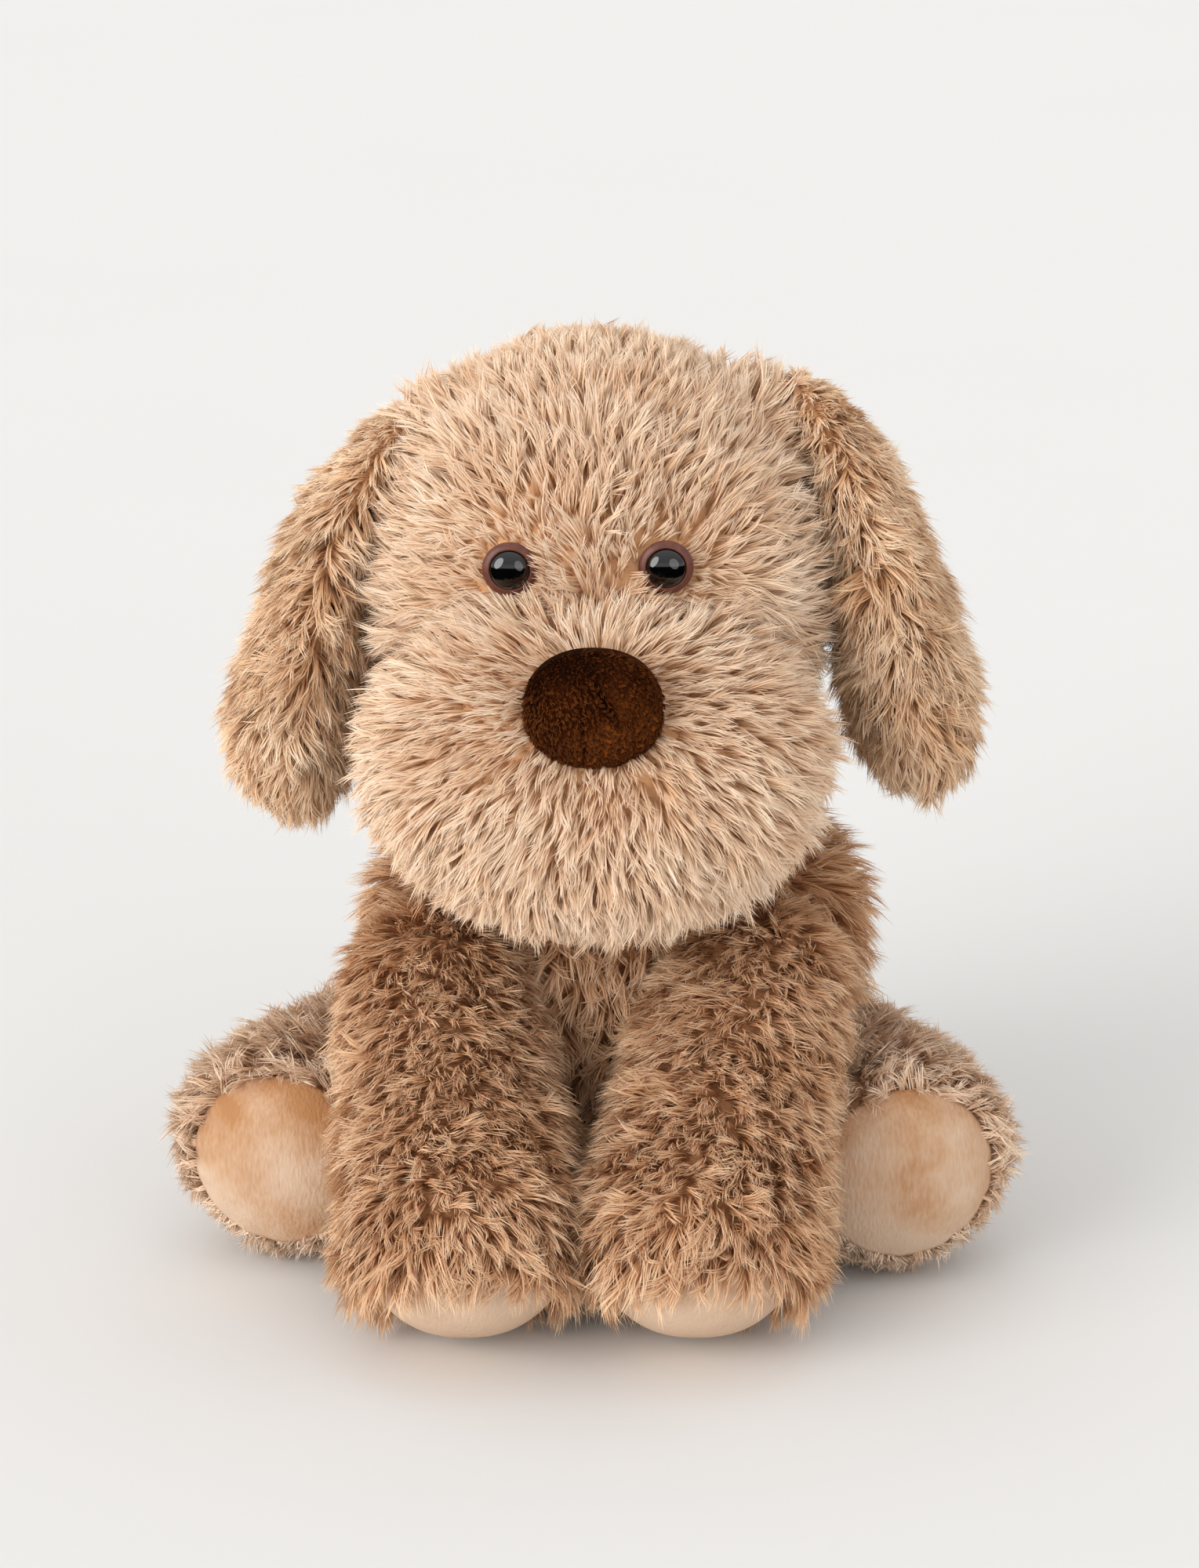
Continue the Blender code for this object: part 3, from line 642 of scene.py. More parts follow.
RING = plastic_material("ring_plastic", (88, 46, 34), (112, 62, 46), 0.42, 0.0)
PUPIL = plastic_material("pupil_plastic", (3, 3, 4), (6, 6, 7), 0.05, 0.6)
WASHER = plastic_material("washer_plastic", (222, 221, 217), (236, 235, 232), 0.4, 0.0)


# ---------------------------------------------------------------- fur

FIBRES_PER_TUFT = 8
STATIONS = 3
FLOOR_CLEAR = 0.0006
SHORTEST = 0.0035
SHORTEST_SHARE = 0.6

# A fibre's own shape: angles in radians, the rest as shares
LEAN_SPREAD = (0.10, 0.14)
BEND_FROM = 0.15
PULL_POWER = 1.6
FIBRE_REACH = (0.80, 1.0)
FIBRE_WIDTHS = (0.75, 1.25)
FIBRE_TWIST = 0.7
TIP_GATHER = 0.55
TIP_TAPER = 0.35

# Tufts gather into locks, and the length, flow and shade of the pile drift in patches
LOCKS_PER_AREA = 2.0
LOCK_SHARE = (0.03, 0.5)
TUFT_LENGTHS = (0.8, 1.15)
LOCK_LENGTHS = (0.85, 1.12)
LENGTH_DRIFT = 0.15
LENGTH_PATCH = 0.022
FLOW_DRIFT = 1.1
FLOW_PATCH = 0.03
SHADE_DRIFT = 0.24
SHADE_PATCH = 0.028
LOCK_SHADES = 0.11
TUFT_SHADES = 0.08
FIBRE_SHADES = 0.10

# Pile that meets a neighbour is pressed down to the room that there is
NEIGHBOUR_PROBE = 0.002
NEIGHBOUR_OVERLAP = 0.004
NEIGHBOUR_PRESS = 1.5

# Margins of the OFBake layer
BAKE_SIDE = 0.01
BAKE_EDGE = 0.02

def comb_away_from(source, droop=0.0):
    """Fur that runs away from a point, and droops."""
    return lambda points: unit(points - source) + np.array([0.0, 0.0, -droop])


def comb_along(direction):
    """Fur that runs one way."""
    return lambda points: np.broadcast_to(unit(direction), points.shape)


def lock_of(points, spacing):
    """Gathers tufts into locks: the index of the lock that each tuft belongs to, and the locks' places."""
    apart = np.linalg.norm(points[1:] - points[:-1], axis=1)
    share = np.clip((np.median(apart) / spacing) ** 2 * LOCKS_PER_AREA, *LOCK_SHARE) if len(apart) else 1.0
    count = max(1, int(len(points) * share))
    centres = points[random.choice(len(points), count, replace=False)]
    tree = KDTree(count)
    for index, centre in enumerate(centres):
        tree.insert(centre, index)
    tree.balance()
    return np.array([tree.find(point)[1] for point in points]), centres


def fibre_lines(points, normals, combs, lengths, pull, style):
    """Tapered ribbons in tufts: each tuft's fibres share a curved line and draw together at its tip."""
    tufts = len(points)
    side = unit(np.cross(normals, combs))
    total = tufts * FIBRES_PER_TUFT
    owner = np.repeat(np.arange(tufts), FIBRES_PER_TUFT)
    bend = random.normal(0.0, style["curl"], tufts)
    start_lean = np.radians(style["lean"][0]) + random.normal(0.0, LEAN_SPREAD[0], tufts)
    end_lean = np.radians(style["lean"][1]) + random.normal(0.0, LEAN_SPREAD[1], tufts)
    steps = np.linspace(0.0, 1.0, STATIONS + 1)
    line = [np.zeros((tufts, 3))]
    for step in range(STATIONS):
        where = (steps[step] + steps[step + 1]) / 2.0
        lean = start_lean + (end_lean - start_lean) * where
        turn = bend * (where - BEND_FROM)
        flat = combs * np.cos(turn)[:, None] + side * np.sin(turn)[:, None]
        heading = normals * np.cos(lean)[:, None] + flat * np.sin(lean)[:, None]
        line.append(line[-1] + heading * (lengths / STATIONS)[:, None])
    lines = np.stack(line)
    lines += pull[None] * (steps ** PULL_POWER)[:, None, None]
    angle = random.uniform(0.0, 2.0 * math.pi, total)
    spread = style["spread"] * np.sqrt(random.uniform(0.0, 1.0, total))
    offset = (combs[owner] * np.cos(angle)[:, None] + side[owner] * np.sin(angle)[:, None]) * spread[:, None]
    stray = random.normal(0.0, style["stray"], (total, 3))
    reach = random.uniform(*FIBRE_REACH, total)
    twist = random.normal(0.0, FIBRE_TWIST, total)
    width = style["width"] * random.uniform(*FIBRE_WIDTHS, total)
    across = side[owner] * np.cos(twist)[:, None] + normals[owner] * np.sin(twist)[:, None]
    vertices = np.zeros((total, 2 * STATIONS + 1, 3))
    for step in range(STATIONS + 1):
        height = steps[step] * reach
        whole = np.minimum((height * STATIONS).astype(int), STATIONS - 1)
        part = height * STATIONS - whole
        here = lines[whole, owner] * (1.0 - part)[:, None] + lines[whole + 1, owner] * part[:, None]
        centre = points[owner] + here + offset * (1.0 - TIP_GATHER * steps[step]) + stray * steps[step] ** 2
        if step == STATIONS:
            vertices[:, 2 * STATIONS] = centre
            continue
        half = across * (width * (1.0 - TIP_TAPER * steps[step]) / 2.0)[:, None]
        vertices[:, 2 * step] = centre - half
        vertices[:, 2 * step + 1] = centre + half
    return vertices, steps


def build_fur(name, vertices, steps, shades, material):
    """One mesh from fibre vertices, with its shade and height in the OFBake layer."""
    total, points = vertices.shape[:2]
    base = np.arange(total)[:, None] * points
    pattern = []
    for step in range(STATIONS - 1):
        pattern += [2 * step, 2 * step + 1, 2 * step + 3, 2 * step + 2]
    pattern += [2 * STATIONS - 2, 2 * STATIONS - 1, 2 * STATIONS]
    corners = (base + np.array(pattern)[None, :]).astype(np.int32)
    sizes = np.array([4] * (STATIONS - 1) + [3])
    loop_total = np.tile(sizes, total).astype(np.int32)
    loop_start = np.concatenate([[0], np.cumsum(loop_total)[:-1]]).astype(np.int32)
    mesh = bpy.data.meshes.new(name)
    mesh.vertices.add(total * points)
    mesh.vertices.foreach_set("co", vertices.astype(np.float32).ravel())
    mesh.loops.add(corners.size)
    mesh.loops.foreach_set("vertex_index", corners.ravel())
    mesh.polygons.add(len(loop_total))
    mesh.polygons.foreach_set("loop_start", loop_start)
    mesh.polygons.foreach_set("use_smooth", np.ones(len(loop_total), dtype=bool))
    offsets = np.array([(-1.0 if index % 2 == 0 else 1.0) * BAKE_SIDE for index in range(points)])
    offsets[-1] = 0.0
    heights = np.array([steps[index // 2] for index in range(points)]) * (1.0 - 2.0 * BAKE_EDGE) + BAKE_EDGE
    u = np.clip(shades, BAKE_EDGE, 1.0 - BAKE_EDGE)[:, None] + offsets[None, :]
    v = np.broadcast_to(heights, u.shape)
    uv = np.stack([u.ravel(), v.ravel()], axis=1)[corners.ravel()]
    layer = mesh.uv_layers.new(name="OFBake")
    layer.data.foreach_set("uv", uv.astype(np.float32).ravel())
    mesh.update()
    mesh.validate()
    mesh.materials.append(material)
    piece = bpy.data.objects.new(name, mesh)
    bpy.context.scene.collection.objects.link(piece)
    return piece


def grow(name, body, skin, tufts, style, comb, material, allowed=None, length_at=None, neighbours=()):
    """Combed fur on a skin: tufts where allowed, shorter where a neighbour is close."""
    points, normals = surface_samples(skin, tufts)
    keep = np.ones(len(points), dtype=bool) if allowed is None else allowed(points, normals)
    lengths = style["length"] * random.uniform(*TUFT_LENGTHS, len(points))
    if length_at is not None:
        lengths = lengths * length_at(points)
    lengths = lengths * (1.0 + LENGTH_DRIFT * smooth_noise(points, LENGTH_PATCH, SEED + 3))
    for field in neighbours:
        room = field(points + normals * NEIGHBOUR_PROBE) + NEIGHBOUR_OVERLAP
        lengths = np.minimum(lengths, np.maximum(room, 0.0) * NEIGHBOUR_PRESS)
    keep &= lengths > min(SHORTEST, SHORTEST_SHARE * style["length"])
    points, normals, lengths = points[keep], normals[keep], lengths[keep]
    raw = comb(points)
    flat = unit(raw - np.sum(raw * normals, axis=1, keepdims=True) * normals)
    side = np.cross(normals, flat)
    lock, centres = lock_of(points, style["lock"])
    yaw = FLOW_DRIFT * style["wander"] * smooth_noise(points, FLOW_PATCH, SEED + 1)
    yaw = yaw + random.normal(0.0, style["wander"], len(centres))[lock]
    yaw = yaw + random.normal(0.0, style["messy"], len(points))
    flat = flat * np.cos(yaw)[:, None] + side * np.sin(yaw)[:, None]
    lengths = lengths * random.uniform(*LOCK_LENGTHS, len(centres))[lock]
    pull = (centres[lock] - points) * style["pull"]
    vertices, steps = fibre_lines(points, normals, flat, lengths, pull, style)
    vertices[..., 2] = np.maximum(vertices[..., 2], FLOOR_CLEAR)
    shade = 0.5 + SHADE_DRIFT * smooth_noise(points, SHADE_PATCH, SEED + 2)
    shade = shade + random.normal(0.0, LOCK_SHADES, len(centres))[lock]
    shade = shade + random.normal(0.0, TUFT_SHADES, len(points))
    shades = np.repeat(shade, FIBRES_PER_TUFT)
    shades = shades + random.normal(0.0, FIBRE_SHADES, len(shades))
    piece = build_fur(name, vertices, steps, shades, material)
    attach(piece, body)
    return piece


HEAD_STYLE = dict(length=0.0176, lean=(34, 74), curl=0.45, spread=0.0013, stray=0.0008, width=0.00053,
                  wander=0.30, lock=0.0060, messy=0.20, pull=0.30)
MUZZLE_STYLE = dict(length=0.0170, lean=(28, 72), curl=0.35, spread=0.0013, stray=0.0008, width=0.00053,
                    wander=0.22, lock=0.0060, messy=0.15, pull=0.28)
EAR_STYLE = dict(length=0.0160, lean=(32, 76), curl=0.7, spread=0.0014, stray=0.0009, width=0.00055,
                 wander=0.42, lock=0.0070, messy=0.24, pull=0.35)
BODY_STYLE = dict(length=0.0142, lean=(26, 66), curl=0.8, spread=0.0017, stray=0.0009, width=0.00053,
                  wander=0.46, lock=0.0070, messy=0.26, pull=0.28)
TORSO_STYLE = dict(BODY_STYLE, length=0.0160)
NOSE_STYLE = dict(length=0.0016, lean=(30, 68), curl=0.4, spread=0.0008, stray=0.00015, width=0.00028,
                  wander=0.35, lock=0.0040, messy=0.18, pull=0.06)
HIND_STYLE = dict(length=0.0160, lean=(28, 74), curl=1.1, spread=0.0016, stray=0.0010, width=0.00055,
                  wander=0.55, lock=0.0070, messy=0.28, pull=0.40)


def dress(piece, body, slot, *nodes):
    """Makes a piece ride on a body, in place of CAD nodes; the slot is not used."""
    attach(piece, body)
    if nodes:
        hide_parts(*nodes)
    return piece


# ---------------------------------------------------------------- the dog

def eye_place(side):
    """Centre of an eye's base on the head, and the direction that it looks."""
    ring, _ = middle_and_half(f"eye_ring_{side}")
    pupil, _ = middle_and_half(f"eye_pupil_{side}")
    outward = unit(pupil - ring)
    return pupil, outward


EYES = {side: eye_place(side) for side in ("left", "right")}

# Where the fur of the head starts, and how its length changes
EYE_CLEAR = 0.0114
EYE_FADE = 0.020
MUZZLE_EYE_CLEAR = 0.008
MUZZLE_OVERLAP = 0.004
CHEEK_START = 0.040
CHEEK_FADE = 0.020
CHEEK_DROP = 0.020
CHEEK_HEIGHT = 0.030
EAR_ROOT_REACH = 0.034
CROWN_START = 0.050
CROWN_FADE = 0.026
BROW_START = 0.034
BROW_FADE = 0.010
SKULL_SPLIT = 0.006
SKULL_TUFTS = 12000
MUZZLE_TUFTS = 7200

# The velour nose stands proud of its CAD form by its pile, and sits a little lower
NOSE_BACK = (0.0, 0.003, 0.0)
NOSE_SHIFT = (0.0, 0.004, -0.0022)
NOSE_GROWTH = (0.0018, 0.0045, 0.0012)
NOSE_POWER = 2.2
NOSE_GRID = (90, 120)
NOSE_TUFTS = 3600
NOSE_FUR_DROP = (0.0, 0.0, 0.0010)
NOSE_FUR_GROWTH = (0.0, 0.006, 0.0)
NOSE_COMB = (0.5, 0.0, -1.0)

# Its seam in metres, and its dent as shares of the nose's half size
SEAM_LEFT = 0.003
SEAM_WIDTH = 0.0009
SEAM_TOP = 0.35
SEAM_DEPTH = 0.0016
DENT_RIGHT = 0.22
DENT_TURN = 0.1
DENT_SLANT = 0.5
DENT_RISE = 0.08
DENT_WIDTH = 0.09
DENT_LENGTH = 0.34
DENT_DEPTH = 0.0024
LUMP_HEIGHT = 0.0006
LUMP_SIZE = 0.018


def make_head():
    """Skull skin, muzzle skin, and their fur."""
    skull = ray_skin("head_skin", head_field, HEAD_CENTRE, (0, 0, 1), HEAD_SKIN)
    dress(skull, "head", "light_fur", "head_cover")
    muzzle = ray_skin("muzzle_skin", muzzle_field, MUZZLE_CENTRE, (0, -1, 0), HEAD_SKIN)
    dress(muzzle, "head", "light_fur", "muzzle_cover")

    def near_eye(points):
        return np.min([np.linalg.norm(points - centre, axis=1) for centre, _ in EYES.values()], axis=0)

    def skull_allowed(points, normals):
        return (muzzle_field(points) > -0.001) & (near_eye(points) > EYE_CLEAR)

    def skull_length(points):
        close = fade(near_eye(points), EYE_CLEAR, EYE_FADE)
        wide = fade(np.abs(points[:, 0] - HEAD_CENTRE[0]), CHEEK_START, CHEEK_FADE)
        cheek = wide * np.exp(-((points[:, 2] - HEAD_CENTRE[2] + CHEEK_DROP) / CHEEK_HEIGHT) ** 2)
        roots = [np.linalg.norm(points - JOINTS[f"ear_{side}_lift"], axis=1) for side in EYES]
        ear = clamp(1.0 - np.min(roots, axis=0) / EAR_ROOT_REACH)
        crown = fade(points[:, 2] - HEAD_CENTRE[2], CROWN_START, CROWN_FADE)
        return 0.40 + 0.60 * close + 0.38 * cheek + 0.45 * ear - 0.32 * crown

    def skull_comb(points):
        away = unit(points - BRIDGE)
        low = clamp((HEAD_CENTRE[2] - points[:, 2]) / 0.05)
        back = clamp((points[:, 1] - HEAD_CENTRE[1]) / 0.06)
        away[:, 2] -= 0.5 * low + 0.9 * back
        return away

    for name, front in (("head_fur_front", True), ("head_fur_back", False)):
        def allowed(points, normals, front=front):
            in_front = points[:, 1] < HEAD_CENTRE[1] + SKULL_SPLIT
            return skull_allowed(points, normals) & (in_front == front)
        grow(name, "head", skull, SKULL_TUFTS, HEAD_STYLE, skull_comb, HEAD_FUR, allowed,
             skull_length)

    def muzzle_allowed(points, normals):
        nose = ellipsoid(points, NOSE_CENTRE - NOSE_FUR_DROP, NOSE_HALF + NOSE_FUR_GROWTH) < 0.0
        return ~nose & (head_field(points) > -MUZZLE_OVERLAP) & (near_eye(points) > MUZZLE_EYE_CLEAR)

    def muzzle_length(points):
        far = clamp(np.linalg.norm(points - NOSE_CENTRE, axis=1) / 0.05 - 0.35)
        brow = fade(points[:, 2] - MUZZLE_CENTRE[2], BROW_START, BROW_FADE)
        return 0.60 + 0.40 * far + 0.24 * brow

    grow("muzzle_fur", "head", muzzle, MUZZLE_TUFTS, MUZZLE_STYLE,
         comb_away_from(NOSE_CENTRE + (0.0, 0.012, 0.0), 0.15), HEAD_FUR, muzzle_allowed, muzzle_length)


def nose_marks(points):
    """Places on the nose as shares of its size, from its seam, and across and along its dent."""
    local = (points - NOSE_CENTRE) / NOSE_HALF
    from_seam = points[:, 0] - NOSE_CENTRE[0] + SEAM_LEFT
    across = (local[:, 0] - DENT_RIGHT) + (local[:, 2] - DENT_TURN) * DENT_SLANT
    return local, from_seam, across, local[:, 2] - DENT_RISE


def make_nose():
    """Velour nose with its centre seam and a thumb dent."""
    def field(points):
        return ellipsoid(points, NOSE_CENTRE + NOSE_SHIFT, NOSE_HALF + NOSE_GROWTH, NOSE_POWER)

    centre = NOSE_CENTRE + NOSE_BACK
    nose = ray_skin("nose_velour", field, centre, (0, -1, 0), NOSE_VELOUR, NOSE_GRID, 0.0)
    mesh = nose.data
    points = coordinates_of(mesh)
    local, from_seam, across, along = nose_marks(points)
    seam = np.exp(-((from_seam / SEAM_WIDTH) ** 2)) * np.clip(SEAM_TOP - local[:, 2], 0, 1)
    dent = np.exp(-(across / DENT_WIDTH) ** 2) * np.exp(-(along / DENT_LENGTH) ** 2)
    # The seam and dent as a mask for painted shade in the nose's folds
    crease_shade = mesh.attributes.new("crease_shade", "FLOAT", "POINT")
    crease_shade.data.foreach_set("value", clamp(seam + dent))
    lump = LUMP_HEIGHT * smooth_noise(points, LUMP_SIZE, SEED + 5)
    depth = SEAM_DEPTH * seam + DENT_DEPTH * dent + lump
    points[:, 1] += depth * clamp(-local[:, 1])
    mesh.vertices.foreach_set("co", points.ravel())
    mesh.update()
    dress(nose, "head", "nose_velour", "nose_cover")

    def pile_allowed(points, normals):
        local, from_seam, across, along = nose_marks(points)
        seam = (np.abs(from_seam) < 0.0005) & (local[:, 2] < -0.1)
        dent = (np.abs(across) < 0.04) & (np.abs(along) < 0.36)
        return (normals[:, 1] < -0.1) & ~seam & ~dent

    grow("nose_pile", "head", nose, NOSE_TUFTS, NOSE_STYLE, comb_along(NOSE_COMB), NOSE_PILE,
         pile_allowed)


# A safety eye: a brown ring on a shank, and the glossy pupil set into it
RING_RADIUS = 0.0090
PUPIL_RADIUS = 0.0065
PUPIL_GAP = 0.0001
SHANK_RADIUS = 0.0022
SHANK_DEPTH = 0.0030
EYE_BASE_DEPTH = 0.0031
DOME_FOOT = 0.0022
DOME_HEIGHT = 0.0030
DOME_STEPS = 13
DOME_STEP = math.radians(7.3)


def make_eyes():
    """Smooth safety eyes in place of the faceted ones."""
    rim = [(SHANK_RADIUS, -SHANK_DEPTH), (SHANK_RADIUS, 0.0), (RING_RADIUS - 0.0006, 0.0),
           (RING_RADIUS - 0.0001, 0.0004), (RING_RADIUS, 0.0009), (RING_RADIUS - 0.0004, 0.0015),
           (RING_RADIUS - 0.0010, 0.0020), (PUPIL_RADIUS + 0.0006, 0.0025), (PUPIL_RADIUS + 0.0002, 0.0025),
           (PUPIL_RADIUS, 0.0022), (PUPIL_RADIUS, 0.0010)]
    reach = PUPIL_RADIUS - PUPIL_GAP
    dome = [(reach, 0.0011)]
    for step in range(DOME_STEPS):
        angle = DOME_STEP * step
        dome.append((reach * math.cos(angle), DOME_FOOT + DOME_HEIGHT * math.sin(angle)))
    for side, (pupil_centre, outward) in EYES.items():
        base = pupil_centre - outward * EYE_BASE_DEPTH
        ring = turned(f"eye_ring_{side}_turned", rim, base, outward, RING)
        dress(ring, "head", "ring_plastic", f"eye_ring_{side}")
        pupil = turned(f"eye_pupil_{side}_dome", dome, base, outward, PUPIL)
        dress(pupil, "head", "pupil_plastic", f"eye_pupil_{side}")


EAR_RINGS = 44
EAR_SEGMENTS = 48
EAR_THINNEST = 0.002
EAR_TIP_LIFT = 0.0005
EAR_SPLAY = 0.18
EAR_ROOT_LENGTH = 0.42
EAR_ROOT_FADE = 0.03
EAR_TUFTS = 4800


def make_ear(side):
    """An ear flap with long fur that hangs down."""
    body = f"ear_{side}"
    rows = EAR_ROWS[side][::-1]
    top, tip = rows[-1, 0], rows[0, 0]
    turns = turns_of(EAR_SEGMENTS)
    points = []
    for height in np.linspace(top, tip + EAR_TIP_LIFT, EAR_RINGS):
        x, y, half_x, half_y = (np.interp(height, rows[:, 0], rows[:, column]) for column in (1, 2, 3, 4))
        points.append(np.column_stack([x + max(half_x - SKIN_INSET, EAR_THINNEST) * np.cos(turns),
                                       y + (half_y - SKIN_INSET) * np.sin(turns),
                                       np.full(EAR_SEGMENTS, height)]))
    tips = [[points[0].mean(axis=0)], [points[-1].mean(axis=0)]]
    faces = [face[::-1] for face in loop_faces(EAR_RINGS, EAR_SEGMENTS, True)]
    skin = new_object(f"ear_{side}_skin", np.concatenate(points + tips), faces, EAR_SKIN)
    dress(skin, body, "ear_fur", f"ear_{side}_outer", f"ear_{side}_inner")

    def comb(points):
        flow = np.zeros_like(points)
        flow[:, 2] = -1.0
        flow[:, 0] = EAR_SPLAY * side_sign(side)
        return flow

    def length_at(points):
        below = clamp((top - points[:, 2]) / EAR_ROOT_FADE)
        return EAR_ROOT_LENGTH + (1.0 - EAR_ROOT_LENGTH) * below

    grow(f"ear_{side}_fur", body, skin, EAR_TUFTS, EAR_STYLE, comb, EAR_FUR, None, length_at,
         (head_field,))


TORSO_GRID = (60, 84)
TORSO_TUFTS = 9000
TORSO_FLOW_FROM = (0.01, 0.17)
SEAT_CLEAR = 0.004
CHEST_WIDTH = 0.022
CHEST_FRONT = -0.02
NECK_REACH = 0.055
FLANK_START = 0.050
FLANK_LOW = 0.07
FLANK_FADE = 0.03


def make_torso():
    """Torso skin and fur."""
    skin = ray_skin("torso_skin", torso_field, TORSO_CENTRE, (0, 0, 1), BODY_SKIN, TORSO_GRID)
    dress(skin, "torso", "body_fur", "torso_cover")

    def allowed(points, normals):
        return (points[:, 2] > SEAT_CLEAR) & (normals[:, 2] > -0.9)

    def comb(points):
        source = np.array([TORSO_CENTRE[0], *TORSO_FLOW_FROM])
        flow = unit(points - source) * np.array([0.5, 0.5, 1.0])
        flow[:, 2] -= 0.8
        return flow

    def length_at(points):
        low = np.clip(points[:, 2] / 0.02, 0.4, 1.0)
        chest = np.exp(-((points[:, 0] - TORSO_CENTRE[0]) / CHEST_WIDTH) ** 2) * (points[:, 1] < CHEST_FRONT)
        neck = clamp(1.0 - np.linalg.norm(points - JOINTS["head_nod"], axis=1) / NECK_REACH)
        flank = fade(points[:, 0], FLANK_START, FLANK_FADE) * fade(points[:, 2], FLANK_LOW, FLANK_FADE)
        return low * (1.0 + 0.10 * chest + 0.9 * neck + 0.35 * flank)

    fields = [leg_field(kind, side) for kind, side in LEGS] + [tail_field]
    grow("torso_fur", "torso", skin, TORSO_TUFTS, TORSO_STYLE, comb, BODY_FUR, allowed, length_at,
         fields)


SOLE_SEGMENTS = 96
SOLE_RINGS = 30
SOLE_CROWN_RINGS = 6
SOLE_POWER = 2.6
SOLE_SINK = 0.0018
SOLE_BACK = 0.002
SOLE_BACK_SHARE = 0.97
PUCKERS = 14.0
PUCKER_DEPTH = 0.00035
FRONT_SOLE_MARGIN = 0.0005
HIND_SOLE_HEIGHT = 0.0105
HIND_SOLE_FLARE = 0.0015


def dome_sole(name, body, plane, normal, radius, height, node):
    """A crowned velour sole whose edge is drawn in by its seam."""
    side, up, normal = frame_of(normal)
    turns = turns_of(SOLE_SEGMENTS)
    radial = ring_of(turns, side, up)
    points = []
    for ring in range(SOLE_RINGS, -1, -1):
        share = ring / SOLE_RINGS
        rise = height * (1.0 - share ** SOLE_POWER) + PUCKER_DEPTH * np.cos(turns * PUCKERS) * share ** 6
        points.append(plane + radial * (radius * share) + normal * rise[:, None])
    back = plane - normal * SOLE_BACK + (points[0] - plane) * SOLE_BACK_SHARE
    vertices = np.concatenate([back] + points[:-1] + [[back.mean(axis=0)], [plane + normal * height]])
    sole = new_object(name, vertices, loop_faces(SOLE_RINGS + 1, SOLE_SEGMENTS, True), VELOUR)
    held = np.concatenate([np.arange(2 * SOLE_SEGMENTS), [len(vertices) - 2]])
    inner = (SOLE_RINGS + 1 - SOLE_CROWN_RINGS) * SOLE_SEGMENTS
    crown = np.concatenate([np.arange(inner, len(vertices) - 2), [len(vertices) - 1]])
    inflate(sole, held, crown, np.arange(inner - SOLE_SEGMENTS, inner), SOLE_SWELL)
    dress(sole, body, "velour", node)


LEG_LOOKS = {"front": ("body_fur", BODY_SKIN, BODY_FUR, BODY_STYLE, 6400, 0.004),
             "hind": ("hind_fur", HIND_SKIN, HIND_FUR, HIND_STYLE, 5000, 0.006)}
SEAM_CLEAR = 0.0006
FOOT_FADE = 0.030
FLARE_FADE = 0.035
SOLE_FUR_RISE = 0.006
SOLE_FUR_FADE = 0.024


def make_leg(kind, side):
    """A leg's skin, sole and fur."""
    root, foot, _, foot_radius, normal, plane = LEGS[kind, side]
    slot, skin_material, fur, style, tufts, floor_clear = LEG_LOOKS[kind]
    body = f"{kind}_leg_{side}"
    skin = ray_skin(f"{body}_skin", cut_leg_field(kind, side), (root + foot) / 2.0, normal, skin_material)
    dress(skin, body, slot, f"{body}_cover")
    if kind == "front":
        offset, flare, height = FRONT_SOLE_OFFSET, 0.0, foot_radius - FRONT_SOLE_OFFSET - FRONT_SOLE_MARGIN
    else:
        offset, flare, height = HIND_SOLE_OFFSET, HIND_SOLE_FLARE, HIND_SOLE_HEIGHT
    radius = math.sqrt(foot_radius ** 2 - offset ** 2) + flare
    seam_plane = plane - normal * SOLE_SINK
    dome_sole(f"{body}_pad", body, seam_plane, normal, radius, height - SOLE_SWELL, f"{body}_sole")

    def allowed(points, normals):
        above = (points - plane) @ normal < -SKIN_INSET - SEAM_CLEAR
        return above & (points[:, 2] > floor_clear)

    def length_at(points):
        near = clamp(1.0 + ((points - plane) @ normal) / FOOT_FADE)
        if kind == "front":
            return 1.0 + 0.30 * near
        low = clamp((plane[2] + SOLE_FUR_RISE - points[:, 2]) / SOLE_FUR_FADE)
        return 1.0 - 0.62 * near * low - 0.10 * near

    def comb(points):
        along = unit(foot - root)
        if kind == "front":
            flow = np.broadcast_to(along, points.shape).copy()
            flow[:, 2] -= 0.6
            return flow
        near = clamp(1.0 + ((points - plane) @ normal) / FLARE_FADE)[:, None]
        return along * (1.0 - 0.4 * near) + unit(points - plane) * near * 0.8

    others = [leg_field(*key) for key in LEGS if key != (kind, side)]
    if kind == "hind":
        others.append(muzzle_field)
    grow(f"{body}_fur", body, skin, tufts, style, comb, fur, allowed, length_at, others)


TAIL_GRID = (24, 32)
TAIL_TUFTS = 700
TAIL_CLEAR = 0.012


def make_tail():
    """Tail skin and fur."""
    along = TAIL_TIP - TAIL_ROOT
    centre = (TAIL_ROOT + TAIL_TIP) / 2.0
    skin = ray_skin("tail_skin", tail_field, centre, along, HIND_SKIN, TAIL_GRID)
    dress(skin, "tail", "hind_fur", "tail_cover")
    grow("tail_fur", "tail", skin, TAIL_TUFTS, HIND_STYLE, comb_along(along), HIND_FUR,
         lambda points, normals: points[:, 2] > TAIL_CLEAR)


INNER_MATERIALS = {"stuffing": STUFFING, "base_panel": LINING, "pellet_pouch": LINING, "neck_seam": THREAD,
                   "care_label": RIBBON, "washer": WASHER}


def finish_inner_pieces():
    """Procedural materials for the CAD nodes that stay."""
    for name, node in frame["nodes"].items():
        for word, material in INNER_MATERIALS.items():
            if word in name:
                node.data.materials.clear()
                node.data.materials.append(material)


# ---------------------------------------------------------------- stage, light and camera

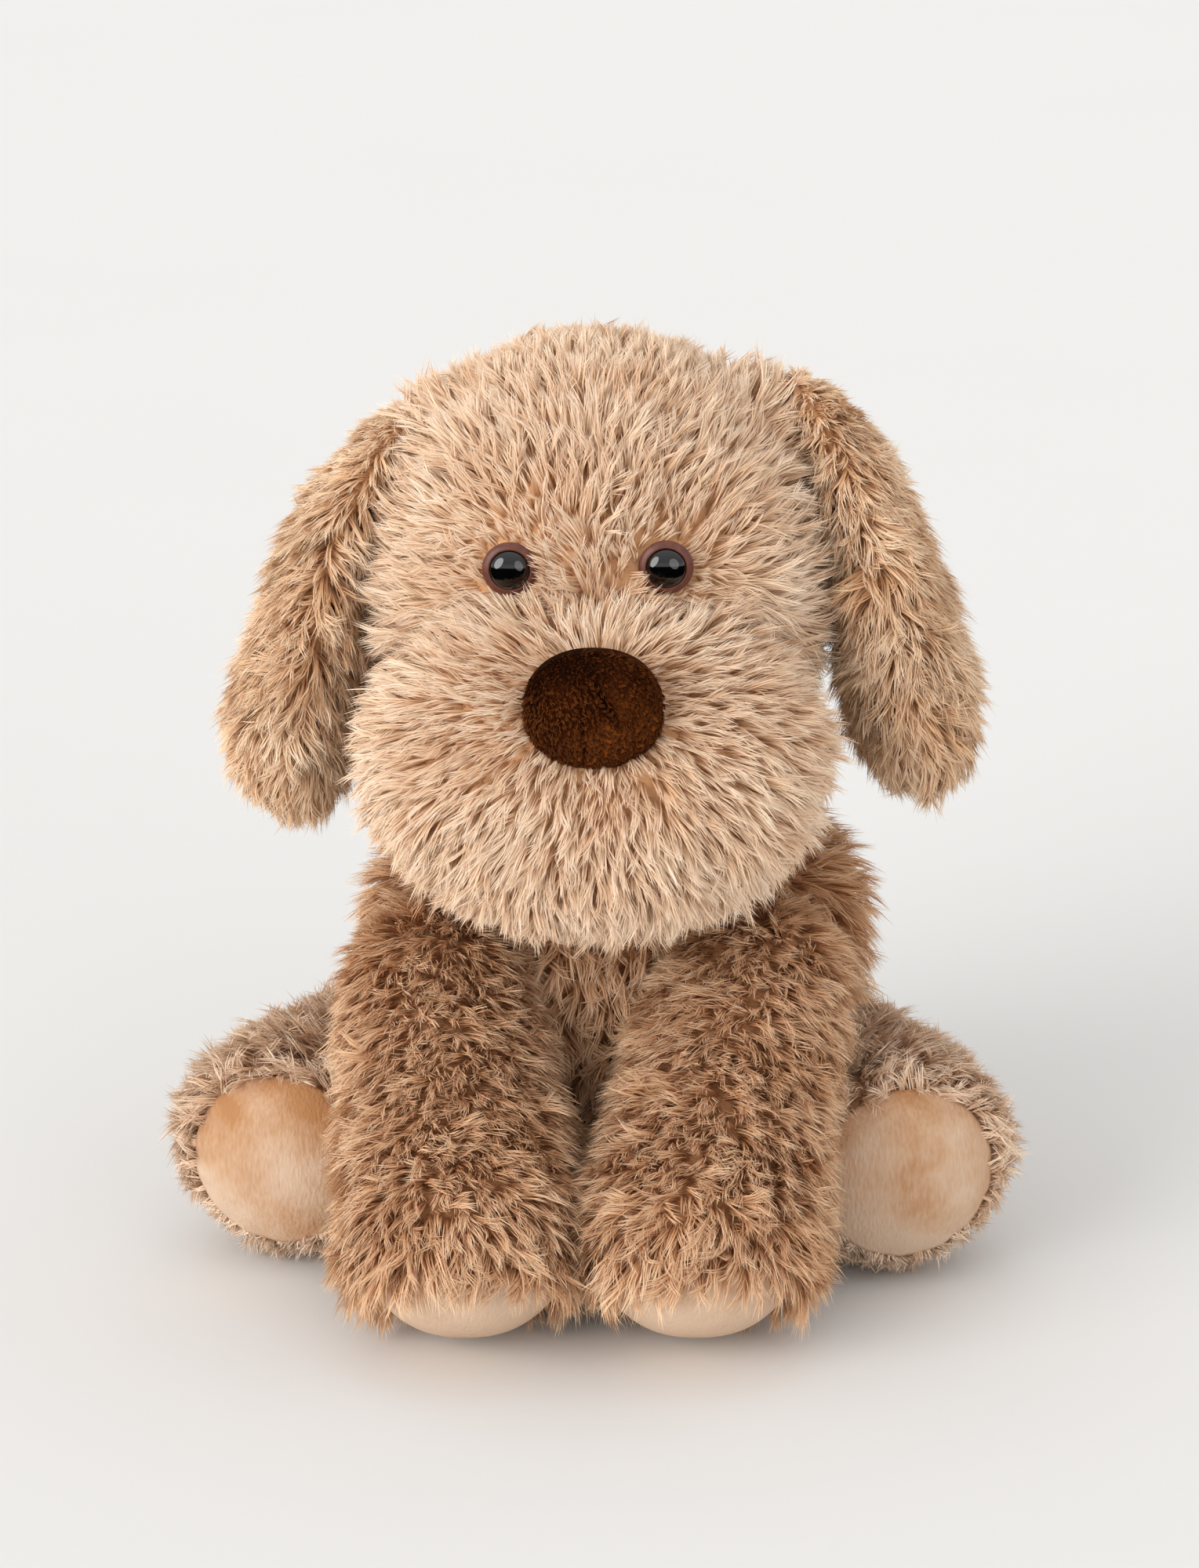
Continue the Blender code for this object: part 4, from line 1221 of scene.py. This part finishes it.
FLOOR_HALF = 14.0
HORIZON = (0.96, 0.96, 0.955, 1.0)
SKY = (0.60, 0.60, 0.60, 1.0)
SKY_LEVEL = 0.90
SKY_RISE = 0.58
DARK_BELOW = -0.04
CAMERA_TARGET = Vector((0.0045, 0.0, 0.158))
CAMERA_ELEVATION = math.radians(18.0)
CAMERA_DISTANCE = 1.75
CAMERA_LENS = 117.2


def sun_light(name, towards, strength, degrees, colour):
    """A large far softbox; towards points from the dog to the light."""
    light = bpy.data.lights.new(name, "SUN")
    light.energy = strength
    light.angle = math.radians(degrees)
    light.color = colour
    lamp = bpy.data.objects.new(name, light)
    lamp.rotation_mode = "QUATERNION"
    lamp.rotation_quaternion = Vector(towards).to_track_quat("Z", "Y")
    bpy.context.scene.collection.objects.link(lamp)


def make_floor():
    """A wide pale floor; the glossy eyes don't reflect it."""
    material, tree, shader = new_material("floor_paint", 0.9, specular=0.0)
    noise_colour(tree, shader, 3.0, [(0.3, (241, 240, 238)), (0.7, (242, 241, 239))])
    corners = [(-FLOOR_HALF, -FLOOR_HALF, 0.0), (FLOOR_HALF, -FLOOR_HALF, 0.0),
               (FLOOR_HALF, FLOOR_HALF, 0.0), (-FLOOR_HALF, FLOOR_HALF, 0.0)]
    floor = new_object("floor", corners, [(0, 1, 2, 3)], material, smooth=False)
    floor.visible_glossy = False


def make_world():
    """Soft light from all round: brighter overhead, as pale as the floor at the horizon, dark below it."""
    world = bpy.data.worlds.new("studio")
    world.use_nodes = True
    tree = world.node_tree
    background = tree.nodes["Background"]
    height = height_of(tree, add(tree, "TexCoord").outputs["Generated"])
    share = math_node(tree, "MULTIPLY_ADD", height, 0.5, 0.5)
    connect(tree, background.inputs["Color"], ramp(tree, share, [(0.54, HORIZON), (0.62, SKY)]))
    level = math_node(tree, "MULTIPLY_ADD", height, SKY_RISE, SKY_LEVEL)
    above = math_node(tree, "GREATER_THAN", height, DARK_BELOW)
    connect(tree, background.inputs["Strength"], math_node(tree, "MULTIPLY", level, above))
    bpy.context.scene.world = world


def make_camera():
    """The camera, a little above the dog and far enough for a flat view."""
    camera = bpy.data.cameras.new("camera")
    camera.lens = CAMERA_LENS
    camera.sensor_width = 36.0
    camera.clip_end = 60.0
    viewer = bpy.data.objects.new("camera", camera)
    back = Vector((0.0, -math.cos(CAMERA_ELEVATION), math.sin(CAMERA_ELEVATION)))
    viewer.location = CAMERA_TARGET + back * CAMERA_DISTANCE
    viewer.rotation_mode = "QUATERNION"
    viewer.rotation_quaternion = (-back).to_track_quat("-Z", "Y")
    bpy.context.scene.collection.objects.link(viewer)
    bpy.context.scene.camera = viewer


make_head()
make_nose()
make_eyes()
for side in EYES:
    make_ear(side)
make_torso()
for kind, side in LEGS:
    make_leg(kind, side)
make_tail()
finish_inner_pieces()
make_floor()
make_world()
sun_light("key", (-0.70, -0.62, 0.30), 2.05, 44.0, (1.0, 0.985, 0.97))
sun_light("fill", (0.50, -0.85, 0.14), 0.42, 36.0, (1.0, 0.99, 0.98))
make_camera()
bpy.context.scene.view_settings.view_transform = "Standard"
